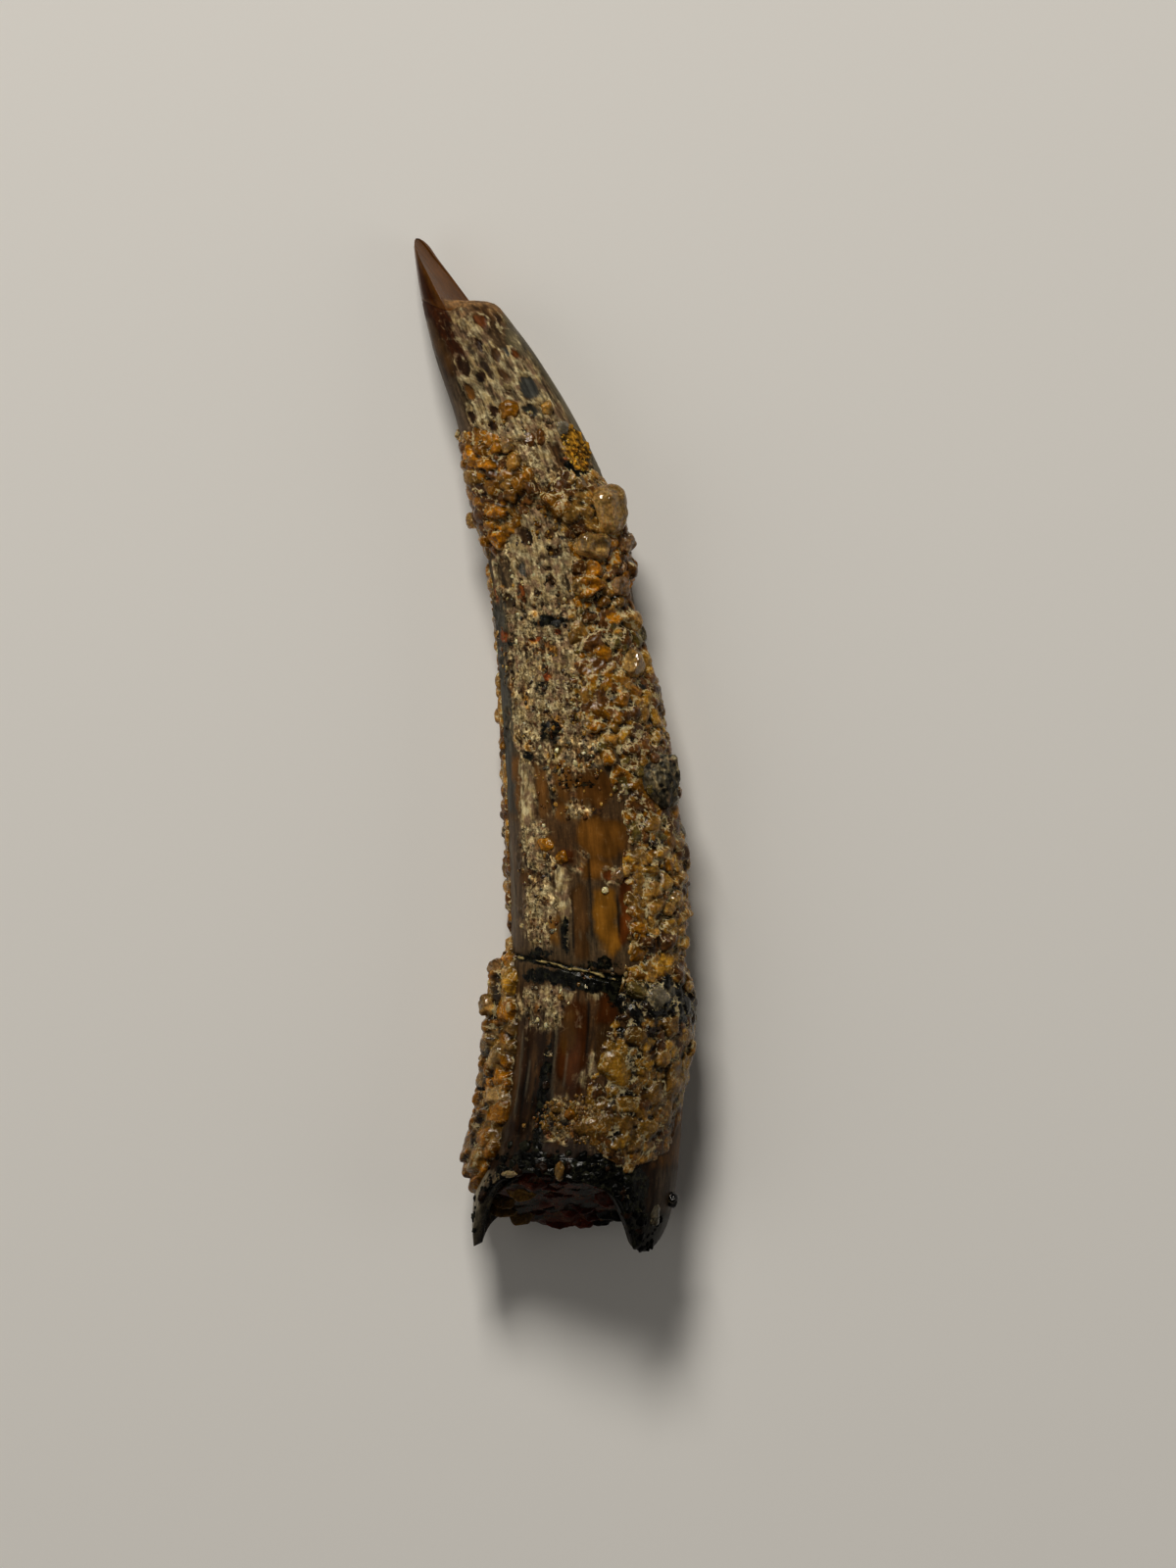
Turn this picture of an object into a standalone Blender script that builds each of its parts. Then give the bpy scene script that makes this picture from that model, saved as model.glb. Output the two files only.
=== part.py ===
"""A fossil pterosaur tooth lying on its side, with patches of sand cemented to it.

+Y runs along the tooth from its broken root to its tip, +X goes across it and +Z is up. The tooth rests
on z = 0. All lengths below are in millimetres, and become metres when a mesh is made. An angle around the
tooth starts at its +X side and passes over the top.
"""
import math
import random

import bmesh
import bpy
from mathutils import Vector, noise

METRES_PER_MM = 0.001
SHARP_ANGLE = math.radians(50)
COLLECTION_NAME = "fossil_pterosaur_tooth"

# The unbroken tooth: place along it, its left edge and its right edge, seen from above.
OUTLINE = (
    (-20.7, -3.24, 4.30), (-19.7, -3.32, 4.66), (-18.3, -3.22, 4.98), (-15.9, -2.46, 5.20),
    (-12.9, -1.94, 5.42), (-10.9, -1.78, 5.50), (-6.9, -1.74, 5.26), (-2.9, -1.86, 4.86),
    (1.1, -2.06, 4.22), (4.7, -2.34, 3.50), (7.9, -2.74, 2.90), (10.5, -3.38, 2.14),
    (13.1, -3.94, 0.94), (15.9, -4.84, -0.74), (18.06, -5.38, -2.38), (19.5, -5.62, -3.44),
    (20.7, -5.74, -4.38), (22.1, -5.74, -5.40),
)
DEPTH_PER_WIDTH = 0.78
# How far the underside bows up from the floor: place along the tooth, rise.
UNDERSIDE_RISE = (
    (-20.7, 0.30), (-16.0, 0.07), (-12.0, 0.0), (4.0, 0.0), (10.0, 0.14), (18.0, 0.55), (22.1, 0.85),
)
WORN_FLAT_DEPTH = 0.13
COLUMNS = 32
ROW_STEP = 1.2
WEATHERING = 0.05
WEATHERING_SCALE = 0.55
WEATHERING_AROUND = 3.0
WEATHERING_STRETCH = 0.35
WEATHERING_FADE = 2.0

# The broken edge of the root: angle in degrees, place along the tooth.
ROOT_RIM = (
    (0, -19.3), (8, -19.8), (16, -20.3), (26, -20.65), (36, -20.7), (45, -20.4), (54, -19.6), (66, -18.5),
    (84, -17.9), (104, -17.6), (124, -17.5), (142, -17.8), (156, -18.5), (168, -19.7), (178, -20.55),
    (190, -20.3), (214, -19.5), (240, -19.35), (270, -19.55), (300, -19.35), (330, -19.6), (350, -19.3),
    (360, -19.3),
)
ROOT_CLEAN_TOP = -16.2
RIM_ROWS = (0.0, 0.35, 0.7)
# Thickness of the wall around the pulp cavity: place along the tooth, thickness.
WALL = ((-20.7, 0.34), (-19.5, 0.5), (-17.5, 0.7), (-14.0, 1.0), (-11.0, 1.7), (-9.8, 2.1))
CAVITY_ROWS = (-16.2, -14.0, -11.8, -9.8)
CAVITY_END = -9.3
RIM_BEVEL = 0.12
RIM_UNEVEN_SCALE = 4.0

# The crack around the shaft, its slope across the tooth, and the groove that it leaves.
CRACK_ALONG = -9.05
CRACK_SLOPE = -0.228
CRACK_REACH = 4.5
CRACK_HALF_WIDTH = 0.16
CRACK_DEPTH = 0.16

# Grooves along the shaft: angle in degrees, start and end along the tooth, depth.
FURROWS = ((110, -17.4, -11.6, 0.14), (100, -7.9, -4.4, 0.09), (130, -16.6, -12.2, 0.06))
FURROW_HALF_ANGLE = 10.0
FURROW_RUN_OUT = 1.0

# The spall that took one side of the tip: a plane facing this angle, and its distance from the axis.
SPALL_ANGLE = math.radians(28)
SPALL_DISTANCE = ((18.0, -0.09), (19.1, -0.31), (19.9, -0.47), (20.7, -0.51), (22.1, -0.45))
SPALL_HOLLOW = 0.07
LEDGE_ALONG = 18.06
LEDGE_DIP = 0.42
LEDGE_DIP_ANGLE = math.radians(116)
LEDGE_DIP_SPREAD = math.radians(24)
LEDGE_HEIGHT = 0.04
LEDGE_UNEVENNESS = 0.05
LEDGE_UNEVEN_SCALE = 3.0
SHAFT_END = LEDGE_ALONG - 0.9
SPIKE_ROWS = (18.5, 19.0, 19.5, 20.0, 20.4)
TIP_ALONG = 20.7

# The filling of the pulp cavity ends in a rough slope between these places and heights.
FILLING_END_TOP = -17.75
FILLING_END_BOTTOM = -19.75
FILLING_TOP = 4.75
FILLING_BOTTOM = 0.45
FILLING_LUMP = 0.42
FILLING_LUMP_SCALE = 1.25
FILLING_GAP = 0.08
FILLING_RINGS = (0.8, 0.56, 0.28)

CRUST_GAP = 0.06
CRUST_CELL = 0.39
CRUST_LEAST = 0.09
CRUST_EDGE = 0.5
CRUST_FLOOR_SHARE = 0.52
LUMP_SPACING = 0.74
LUMP_RADII = (0.40, 0.54)
LUMP_HEIGHTS = (0.82, 1.12)
LUMP_TRIES = 2600
UNDERSIDE_ROWS = 2

# Each crust: place along the tooth, angle of its lower edge, angle of its upper edge, thickness.
RIGHT_CRUST = (
    (-17.1, 52, 62, 0.22), (-16.5, 32, 78, 0.24), (-15.4, 22, 85, 0.28), (-13.6, 4, 85, 0.34),
    (-11.8, -26, 77, 0.36),
    (-10.4, -22, 70, 0.36), (-9.0, 12, 64, 0.34), (-7.9, 4, 62, 0.36), (-6.3, -26, 63, 0.42),
    (-2.9, -32, 61, 0.38), (-0.6, -32, 70, 0.38), (1.3, -28, 84, 0.38), (3.2, -2, 84, 0.38),
    (4.7, 8, 80, 0.40), (6.1, 20, 74, 0.42), (7.5, -10, 71, 0.44), (8.8, -12, 74, 0.46),
    (9.7, -8, 89, 0.48), (10.5, 6, 78, 0.42), (10.9, 22, 62, 0.32),
)
UPPER_LEFT_CRUST = (
    (7.8, 144, 178, 0.26), (8.7, 124, 182, 0.40), (9.9, 101, 179, 0.46), (11.3, 97, 176, 0.46),
    (12.6, 118, 168, 0.30),
)
LEFT_EDGE_CRUST = (
    (-7.6, 182, 196, 0.26), (-5.6, 178, 212, 0.34), (-2.5, 177, 216, 0.36), (0.4, 178, 212, 0.34),
    (2.2, 184, 208, 0.26), (4.0, 187, 208, 0.26), (5.6, 180, 211, 0.36), (7.2, 181, 199, 0.28),
)
LOWER_LEFT_CRUST = (
    (-18.0, 172, 190, 0.55), (-17.0, 161, 206, 1.02), (-15.4, 158, 212, 1.08), (-13.0, 160, 212, 1.10),
    (-10.8, 162, 209, 1.06), (-9.2, 165, 203, 0.72), (-8.2, 172, 192, 0.34),
)

# The largest grains of the right crust: across the tooth, along it, radius, height.
RIGHT_GRAINS = (
    (1.90, 9.55, 0.92, 0.86), (1.52, 7.98, 0.62, 0.70), (2.60, 8.10, 0.46, 0.52), (2.94, 7.34, 0.34, 0.34),
    (1.42, 6.34, 0.62, 0.72), (2.46, 6.38, 0.44, 0.58), (2.98, 4.98, 0.56, 0.54), (3.08, 3.12, 0.62, 0.62),
    (0.10, 9.68, 0.58, 0.66), (2.86, -13.40, 0.92, 0.60), (4.86, -4.80, 0.46, 0.58),
    (5.02, -8.20, 0.46, 0.40), (5.36, -10.00, 0.40, 0.40), (5.36, -12.40, 0.46, 0.40),
    (4.10, 1.30, 0.40, 0.46),
)
LOWER_LEFT_GRAINS = ((-2.38, -10.76, 0.48, 1.24), (-2.20, -9.18, 0.42, 0.86))

# The pebble's seat on the tooth, its half sizes across, along and out, and the knobs on it.
NODULE_ALONG = -1.5
NODULE_ANGLE = math.radians(33)
NODULE_LIFT = 0.30
NODULE_RADII = (0.92, 1.02, 0.72)
NODULE_LUMP = 0.16
NODULE_LUMP_SCALE = 2.1
NODULE_KNOBS = (((0.45, 0.75, 0.50), 0.20), ((0.05, -0.90, 0.42), 0.30))
NODULE_KNOB_WIDTH = 0.32
NODULE_CLEARANCE = 1.12

# Where each use of the noise field reads it, so that no two of them look alike.
RIM_NOISE = 3.0
FILLING_NOISE = 5.0
LEDGE_NOISE = 7.0

# The crusts: name, table, large grains, seed of the scatter, material.
CRUSTS = (
    ("sand_crust_right", RIGHT_CRUST, RIGHT_GRAINS, 11, "honey_sand"),
    ("sand_crust_upper_left", UPPER_LEFT_CRUST, (), 12, "amber_sand"),
    ("sand_crust_left_edge", LEFT_EDGE_CRUST, (), 13, "amber_sand"),
    ("sand_crust_lower_left", LOWER_LEFT_CRUST, LOWER_LEFT_GRAINS, 14, "amber_sand"),
)
CRUST_WITH_NODULE = "sand_crust_right"

# The materials: colour, roughness, transmission.
FINISHES = {
    "tooth": ((0.105, 0.062, 0.032, 1.0), 0.40, 0.0),
    "pulp_filling": ((0.160, 0.035, 0.012, 1.0), 0.45, 0.0),
    "amber_sand": ((0.420, 0.190, 0.050, 1.0), 0.35, 0.2),
    "honey_sand": ((0.460, 0.250, 0.090, 1.0), 0.30, 0.2),
    "ironstone": ((0.035, 0.032, 0.033, 1.0), 0.55, 0.0),
}


def remove_scene_objects():
    """Empty the scene."""
    for item in list(bpy.data.objects):
        bpy.data.objects.remove(item, do_unlink=True)


def new_collection(name):
    """A collection linked to the scene."""
    collection = bpy.data.collections.new(name)
    bpy.context.scene.collection.children.link(collection)
    return collection


def new_material(name):
    """A Principled material with one of the finishes."""
    colour, roughness, transmission = FINISHES[name]
    material = bpy.data.materials.new(name)
    material.use_nodes = True
    shader = material.node_tree.nodes["Principled BSDF"]
    shader.inputs["Base Color"].default_value = colour
    shader.inputs["Roughness"].default_value = roughness
    shader.inputs["Transmission Weight"].default_value = transmission
    material.diffuse_color = colour
    return material


def read_table(table, place, column=1):
    """A smooth value between the rows of a table sorted by its first column."""
    if place <= table[0][0]:
        return table[0][column]
    if place >= table[-1][0]:
        return table[-1][column]
    row = next(i for i in range(len(table) - 1) if place <= table[i + 1][0])
    start, end = table[row], table[row + 1]
    before, after = table[max(row - 1, 0)], table[min(row + 2, len(table) - 1)]
    span = end[0] - start[0]
    slope_start = (end[column] - before[column]) / (end[0] - before[0]) * span
    slope_end = (after[column] - start[column]) / (after[0] - start[0]) * span
    t = (place - start[0]) / span
    return (
        start[column] * (2 * t**3 - 3 * t**2 + 1)
        + slope_start * (t**3 - 2 * t**2 + t)
        + end[column] * (3 * t**2 - 2 * t**3)
        + slope_end * (t**3 - t**2)
    )


def section(along):
    """Centre across, centre height, half width and half depth of the unbroken tooth."""
    left = read_table(OUTLINE, along, 1)
    right = read_table(OUTLINE, along, 2)
    half_width = (right - left) / 2
    half_depth = half_width * DEPTH_PER_WIDTH
    centre_height = half_depth + read_table(UNDERSIDE_RISE, along) - WORN_FLAT_DEPTH
    return (left + right) / 2, centre_height, half_width, half_depth


def weathering(along, angle):
    """Gentle unevenness of the tooth's surface, which fades out towards the glossy tip."""
    fade = min(1.0, max(0.0, (LEDGE_ALONG - along) / WEATHERING_FADE))
    around = (math.cos(angle) * WEATHERING_AROUND, math.sin(angle) * WEATHERING_AROUND)
    place = Vector((around[0], along * WEATHERING_STRETCH, around[1]))
    return WEATHERING * fade * noise.noise(place * WEATHERING_SCALE)


def furrow(along, angle):
    """Depth of the grooves along the shaft at a place."""
    total = 0.0
    for middle_angle, start, end, depth in FURROWS:
        across = max(0.0, 1.0 - abs(math.degrees(angle) - middle_angle) / FURROW_HALF_ANGLE)
        from_end = max(0.0, min(along - start, end - along))
        total += depth * across * min(1.0, from_end / FURROW_RUN_OUT)
    return total


def skin_point(along, angle, lift=0.0):
    """A point of the tooth's outer surface, or lift above it; the underside is worn flat."""
    centre, height, half_width, half_depth = section(along)
    across, up = math.cos(angle), math.sin(angle)
    outward = Vector((across / half_width, 0.0, up / half_depth)).normalized()
    push = lift + weathering(along, angle) - furrow(along, angle)
    point = Vector((centre + half_width * across, along, height + half_depth * up)) + outward * push
    point.z = max(point.z, 0.0)
    return point


def spalled_point(along, angle):
    """A point of the surface above the ledge, where the spall has cut the tooth."""
    centre, height, half_width, half_depth = section(along)
    facing = Vector((math.cos(SPALL_ANGLE), 0.0, math.sin(SPALL_ANGLE)))
    chord = Vector((-facing.z, 0.0, facing.x))
    offset = Vector((half_width * math.cos(angle), 0.0, half_depth * math.sin(angle)))
    beyond = offset.dot(facing) - read_table(SPALL_DISTANCE, along)
    if beyond > 0.0:
        share = offset.dot(chord) / half_width
        hollow = SPALL_HOLLOW * max(0.0, 1.0 - share * share) * min(1.0, beyond / half_width)
        offset -= facing * (beyond + hollow)
    return Vector((centre + offset.x, along, height + offset.z))


def cavity_point(along, angle, clearance=0.0):
    """A point of the pulp cavity's wall, or inside it by a clearance."""
    centre, height, half_width, half_depth = section(along)
    inset = read_table(WALL, along) + clearance
    across = (half_width - inset) * math.cos(angle)
    up = (half_depth - inset) * math.sin(angle)
    return Vector((centre + across, along, height + up))


def angles():
    """The angles of the columns around the tooth."""
    return [2 * math.pi * column / COLUMNS for column in range(COLUMNS)]


def spaced(start, end, step):
    """Evenly spaced places from start to end, both included."""
    count = max(1, round((end - start) / step))
    return [start + (end - start) * i / count for i in range(count + 1)]


def rim_along(angle):
    """Place of the broken root edge at an angle."""
    return read_table(ROOT_RIM, math.degrees(angle) % 360)


def crack_along(along, angle):
    """A ring's place, sloped across the tooth as the crack is where it is near the crack."""
    near = max(0.0, 1.0 - abs(along - CRACK_ALONG) / CRACK_REACH) ** 2
    centre, _, half_width, _ = section(along)
    return along + CRACK_SLOPE * (centre + half_width * math.cos(angle)) * near


def ledge_along(angle):
    """Place of the broken ledge at an angle."""
    dip = math.exp(-(((angle - LEDGE_DIP_ANGLE) / LEDGE_DIP_SPREAD) ** 2))
    uneven = noise.noise(Vector((angle * LEDGE_UNEVEN_SCALE, LEDGE_NOISE, 0.0)))
    return LEDGE_ALONG - LEDGE_DIP * dip + LEDGE_UNEVENNESS * uneven


def mesh_object(name, points, faces, material, collection):
    """A closed mesh object from points in millimetres."""
    mesh = bpy.data.meshes.new(name)
    mesh.from_pydata([point * METRES_PER_MM for point in points], [], faces)
    shape = bmesh.new()
    shape.from_mesh(mesh)
    loose = [vertex for vertex in shape.verts if not vertex.link_faces]
    bmesh.ops.delete(shape, geom=loose, context="VERTS")
    bmesh.ops.recalc_face_normals(shape, faces=shape.faces)
    bmesh.ops.triangulate(shape, faces=shape.faces, quad_method="SHORT_EDGE")
    shape.to_mesh(mesh)
    shape.free()
    mesh.materials.append(material)
    mesh.shade_smooth()
    mesh.set_sharp_from_angle(angle=SHARP_ANGLE)
    item = bpy.data.objects.new(name, mesh)
    collection.objects.link(item)
    return item


def loft(rings, first_cap, last_cap):
    """Points and faces of a closed skin over rings of equal length, each end drawn to one point."""
    points = [point for ring in rings for point in ring]
    count = len(rings[0])
    faces = []
    for row in range(len(rings) - 1):
        for column in range(count):
            following = (column + 1) % count
            low, high = row * count, (row + 1) * count
            faces.append((low + column, low + following, high + following, high + column))
    for cap, ring_start in ((first_cap, 0), (last_cap, len(points) - count)):
        points.append(cap)
        apex = len(points) - 1
        faces += [(ring_start + (c + 1) % count, ring_start + c, apex) for c in range(count)]
    return points, faces


def outer_rings():
    """Rings of the tooth's outside, from the broken root to just under the tip."""
    around = angles()
    rings = []
    for share in RIM_ROWS:
        places = [rim_along(a) + (ROOT_CLEAN_TOP - rim_along(a)) * share for a in around]
        rings.append([skin_point(place, a) for place, a in zip(places, around)])
    below = spaced(ROOT_CLEAN_TOP, CRACK_ALONG - CRACK_HALF_WIDTH, ROW_STEP)
    above = spaced(CRACK_ALONG + CRACK_HALF_WIDTH, SHAFT_END, ROW_STEP)
    for along in below:
        rings.append([skin_point(crack_along(along, a), a) for a in around])
    rings.append([skin_point(crack_along(CRACK_ALONG, a), a, -CRACK_DEPTH) for a in around])
    for along in above:
        rings.append([skin_point(crack_along(along, a), a) for a in around])
    rings.append([skin_point(ledge_along(a), a) for a in around])
    rings.append([spalled_point(ledge_along(a) + LEDGE_HEIGHT, a) for a in around])
    for along in SPIKE_ROWS:
        rings.append([spalled_point(along, a) for a in around])
    return rings


def cavity_rings():
    """Rings of the pulp cavity, from its inner end to the broken rim."""
    around = angles()
    rings = [[cavity_point(along, a) for a in around] for along in reversed(CAVITY_ROWS)]
    for share in reversed(RIM_ROWS):
        ring = []
        for a in around:
            uneven = noise.noise(Vector((a * RIM_UNEVEN_SCALE, 0.0, RIM_NOISE)))
            rim = rim_along(a) + RIM_BEVEL * (1.0 + uneven)
            ring.append(cavity_point(rim + (ROOT_CLEAN_TOP - rim) * share, a))
        rings.append(ring)
    return rings


def tooth_end(along, make_point):
    """The middle of a ring, which closes an end."""
    ring = [make_point(along, a) for a in angles()]
    return sum(ring, Vector()) / len(ring)


def build_tooth(collection):
    """The tooth: one grown piece, hollow at its broken root."""
    rings = cavity_rings() + outer_rings()
    inner_end = tooth_end(CAVITY_END, cavity_point)
    tip = tooth_end(TIP_ALONG, spalled_point)
    points, faces = loft(rings, inner_end, tip)
    return mesh_object("tooth", points, faces, new_material("tooth"), collection)


def filling_end_along(point):
    """Place of the filling's rough end at a point's height and width."""
    share = min(1.0, max(0.0, (point.z - FILLING_BOTTOM) / (FILLING_TOP - FILLING_BOTTOM)))
    slope = FILLING_END_BOTTOM + (FILLING_END_TOP - FILLING_END_BOTTOM) * share
    lump = abs(noise.noise(Vector((point.x, point.z, FILLING_NOISE)) * FILLING_LUMP_SCALE))
    return slope + FILLING_LUMP * (lump - 0.5)


def build_filling(collection):
    """The cemented sand in the pulp cavity, with a rough end in the broken root."""
    around = angles()
    rings = []
    for along in reversed(CAVITY_ROWS):
        rings.append([cavity_point(along, a, FILLING_GAP) for a in around])
    mouth = []
    for a in around:
        edge = cavity_point(FILLING_END_BOTTOM, a, FILLING_GAP)
        mouth.append(cavity_point(filling_end_along(edge), a, FILLING_GAP))
    rings.append([(high + low) / 2 for high, low in zip(rings[-1], mouth)])
    rings.append(mouth)
    middle = sum(mouth, Vector()) / COLUMNS
    for share in FILLING_RINGS:
        ring = [middle + (point - middle) * share for point in mouth]
        rings.append([Vector((p.x, filling_end_along(p) - FILLING_LUMP / 2, p.z)) for p in ring])
    middle.y = filling_end_along(middle) - FILLING_LUMP / 2
    inner_end = tooth_end(CAVITY_END - 2 * FILLING_GAP, cavity_point)
    points, faces = loft(rings, inner_end, middle)
    return mesh_object("pulp_filling", points, faces, new_material("pulp_filling"), collection)


def top_angle(across, along):
    """The angle of the place on the tooth's upper side that is seen at a distance across it."""
    centre, _, half_width, _ = section(along)
    return math.acos(max(-1.0, min(1.0, (across - centre) / half_width)))


def scatter_lumps(table, large_grains, seed):
    """A crust's lumps as (middle, radius, height): the large grains, then a spaced scatter."""
    chance = random.Random(seed)
    lumps = []
    for across, along, radius, height in large_grains:
        lumps.append((skin_point(along, top_angle(across, along)), radius, height))
    for _ in range(LUMP_TRIES):
        along = chance.uniform(table[0][0], table[-1][0])
        low, high = read_table(table, along, 1), read_table(table, along, 2)
        spot = skin_point(along, math.radians(chance.uniform(low, high)))
        radius = chance.uniform(*LUMP_RADII)
        height = read_table(table, along, 3) * chance.uniform(*LUMP_HEIGHTS)
        if all((spot - other).length > max(LUMP_SPACING, other_radius) for other, other_radius, _ in lumps):
            lumps.append((spot, radius, height))
    return lumps


def lump_height(spot, lumps):
    """Height of the tallest lump over a spot."""
    tallest = 0.0
    for middle, radius, height in lumps:
        distance = (spot - middle).length / radius
        if distance < 1.0:
            tallest = max(tallest, height * math.sqrt(1.0 - distance * distance))
    return tallest


def crust_thickness(table, along, angle, lumps):
    """Thickness of a crust at a place, thinner between its lumps and at its edges."""
    low = math.radians(read_table(table, along, 1))
    high = math.radians(read_table(table, along, 2))
    radius = section(along)[2]
    edge = min((angle - low) * radius, (high - angle) * radius, along - table[0][0], table[-1][0] - along)
    fade = min(1.0, max(0.0, edge) / CRUST_EDGE) ** 0.5
    between = CRUST_FLOOR_SHARE * read_table(table, along, 3)
    lump = lump_height(skin_point(along, angle), lumps)
    return max(CRUST_LEAST, fade * max(between, lump))


def build_crust(name, table, large_grains, seed, material, collection):
    """Sand cemented to the tooth: a lumpy blanket between two angles, along a stretch of the tooth."""
    lumps = scatter_lumps(table, large_grains, seed)
    rows = spaced(table[0][0], table[-1][0], CRUST_CELL)
    middle = table[len(table) // 2]
    arc = math.radians(middle[2] - middle[1]) * section(middle[0])[2]
    columns = max(3, round(arc / CRUST_CELL))
    top, bottom = [], []
    for along in rows:
        low, high = read_table(table, along, 1), read_table(table, along, 2)
        for column in range(columns + 1):
            angle = math.radians(low + (high - low) * column / columns)
            thickness = crust_thickness(table, along, angle, lumps)
            top.append(skin_point(along, angle, CRUST_GAP + thickness))
            bottom.append(skin_point(along, angle, CRUST_GAP))
    points, faces = blanket(top, bottom, len(rows), columns + 1)
    return mesh_object(name, points, faces, material, collection)


def underside_face(row, column, rows, columns):
    """Corners of one long face of a blanket's underside, with every point of the border that it meets."""
    last_row = min(row + UNDERSIDE_ROWS, rows - 1)
    corners = [(row, column)]
    corners += [(r, column + 1) for r in range(row, last_row + 1)]
    corners += [(r, column) for r in range(last_row, row, -1)]
    kept = []
    for r, c in corners:
        if r in (row, last_row) or c in (0, columns - 1):
            kept.append(r * columns + c)
    return kept


def blanket(top, bottom, rows, columns):
    """Points and faces of a closed blanket between two grids of points, with longer faces underneath."""
    offset = len(top)
    faces = []
    for row in range(rows - 1):
        for column in range(columns - 1):
            a = row * columns + column
            faces.append((a, a + 1, a + columns + 1, a + columns))
    for row in range(0, rows - 1, UNDERSIDE_ROWS):
        for column in range(columns - 1):
            corners = underside_face(row, column, rows, columns)
            faces.append(tuple(corner + offset for corner in reversed(corners)))
    border = [(0, c) for c in range(columns - 1)]
    border += [(r, columns - 1) for r in range(rows - 1)]
    border += [(rows - 1, c) for c in range(columns - 1, 0, -1)]
    border += [(r, 0) for r in range(rows - 1, 0, -1)]
    loop = [row * columns + column for row, column in border]
    for here, following in zip(loop, loop[1:] + loop[:1]):
        faces.append((following, here, here + offset, following + offset))
    return top + bottom, faces


def nodule_swell(direction):
    """Size of the pebble in a direction, as a share of its half sizes."""
    swell = 1.0 + NODULE_LUMP * noise.noise(direction * NODULE_LUMP_SCALE)
    for knob, rise in NODULE_KNOBS:
        apart = (direction - Vector(knob).normalized()).length
        swell += rise * math.exp(-((apart / NODULE_KNOB_WIDTH) ** 2))
    return swell


def nodule_mesh(scale):
    """Points and faces of a lumpy pebble sunk in the crust on the tooth."""
    shape = bmesh.new()
    bmesh.ops.create_icosphere(shape, subdivisions=3, radius=1.0)
    foot = skin_point(NODULE_ALONG, NODULE_ANGLE)
    seat = skin_point(NODULE_ALONG, NODULE_ANGLE, NODULE_LIFT)
    outward = (seat - foot).normalized()
    side = Vector((outward.z, 0.0, -outward.x))
    points = []
    for vertex in shape.verts:
        local = vertex.co * nodule_swell(vertex.co) * scale
        point = seat + side * local.x * NODULE_RADII[0] + outward * local.z * NODULE_RADII[2]
        point.y += local.y * NODULE_RADII[1]
        points.append(point)
    faces = [tuple(vertex.index for vertex in face.verts) for face in shape.faces]
    shape.free()
    return points, faces


def clear_of_skin(point, clearance):
    """A point moved out until it stands clear of the tooth's surface."""
    centre, height, half_width, half_depth = section(point.y)
    across, up = point.x - centre, point.z - height
    reach = math.hypot(across / half_width, up / half_depth)
    needed = 1.0 + clearance / half_depth
    if reach >= needed:
        return point
    return Vector((centre + across * needed / reach, point.y, height + up * needed / reach))


def build_nodule(collection):
    """A dark ironstone pebble held in the right crust."""
    points, faces = nodule_mesh(1.0)
    points = [clear_of_skin(point, CRUST_GAP + WEATHERING) for point in points]
    return mesh_object("ironstone_nodule", points, faces, new_material("ironstone"), collection)


def cut_nodule_socket(crust, cutters):
    """Cut the pebble's socket out of the right crust."""
    points, faces = nodule_mesh(NODULE_CLEARANCE)
    cutter = mesh_object("nodule_socket_cutter", points, faces, crust.data.materials[0], cutters)
    cutter.hide_render = True
    cutter.display_type = "WIRE"
    cut = crust.modifiers.new("nodule socket", "BOOLEAN")
    cut.operation = "DIFFERENCE"
    cut.object = cutter


def build():
    """Make the tooth and what is cemented to it."""
    remove_scene_objects()
    parts = new_collection(COLLECTION_NAME)
    cutters = new_collection("cutters")
    sands = {name: new_material(name) for name in ("amber_sand", "honey_sand")}
    build_tooth(parts)
    build_filling(parts)
    for name, table, large_grains, seed, sand in CRUSTS:
        crust = build_crust(name, table, large_grains, seed, sands[sand], parts)
        if name == CRUST_WITH_NODULE:
            cut_nodule_socket(crust, cutters)
    build_nodule(parts)


build()
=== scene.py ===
"""The looks of a fossil pterosaur tooth: its weathered enamel, the sand cemented to it, and its light.

Lengths are in millimetres in the frame's own axes, and become metres when a mesh or light is made. An angle
around the tooth starts at its +X side and passes over the top. Places on the tooth are seen from above.
"""
import math

import bmesh
import bpy
import numpy as np
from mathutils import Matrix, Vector, noise


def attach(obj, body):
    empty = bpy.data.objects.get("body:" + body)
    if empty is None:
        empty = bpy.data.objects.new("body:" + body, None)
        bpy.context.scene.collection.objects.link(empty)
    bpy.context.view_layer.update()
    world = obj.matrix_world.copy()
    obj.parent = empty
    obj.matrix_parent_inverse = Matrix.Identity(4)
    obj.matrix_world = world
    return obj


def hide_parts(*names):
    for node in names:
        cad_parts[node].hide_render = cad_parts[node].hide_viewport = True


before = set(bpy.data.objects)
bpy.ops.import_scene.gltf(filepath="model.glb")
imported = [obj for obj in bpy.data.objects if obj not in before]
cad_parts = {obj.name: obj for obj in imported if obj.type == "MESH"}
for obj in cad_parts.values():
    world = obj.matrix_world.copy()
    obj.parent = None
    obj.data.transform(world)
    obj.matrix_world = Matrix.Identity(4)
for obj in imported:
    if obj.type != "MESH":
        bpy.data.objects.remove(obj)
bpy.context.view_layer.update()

METRES_PER_MM = 0.001
BODY = "root"

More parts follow.
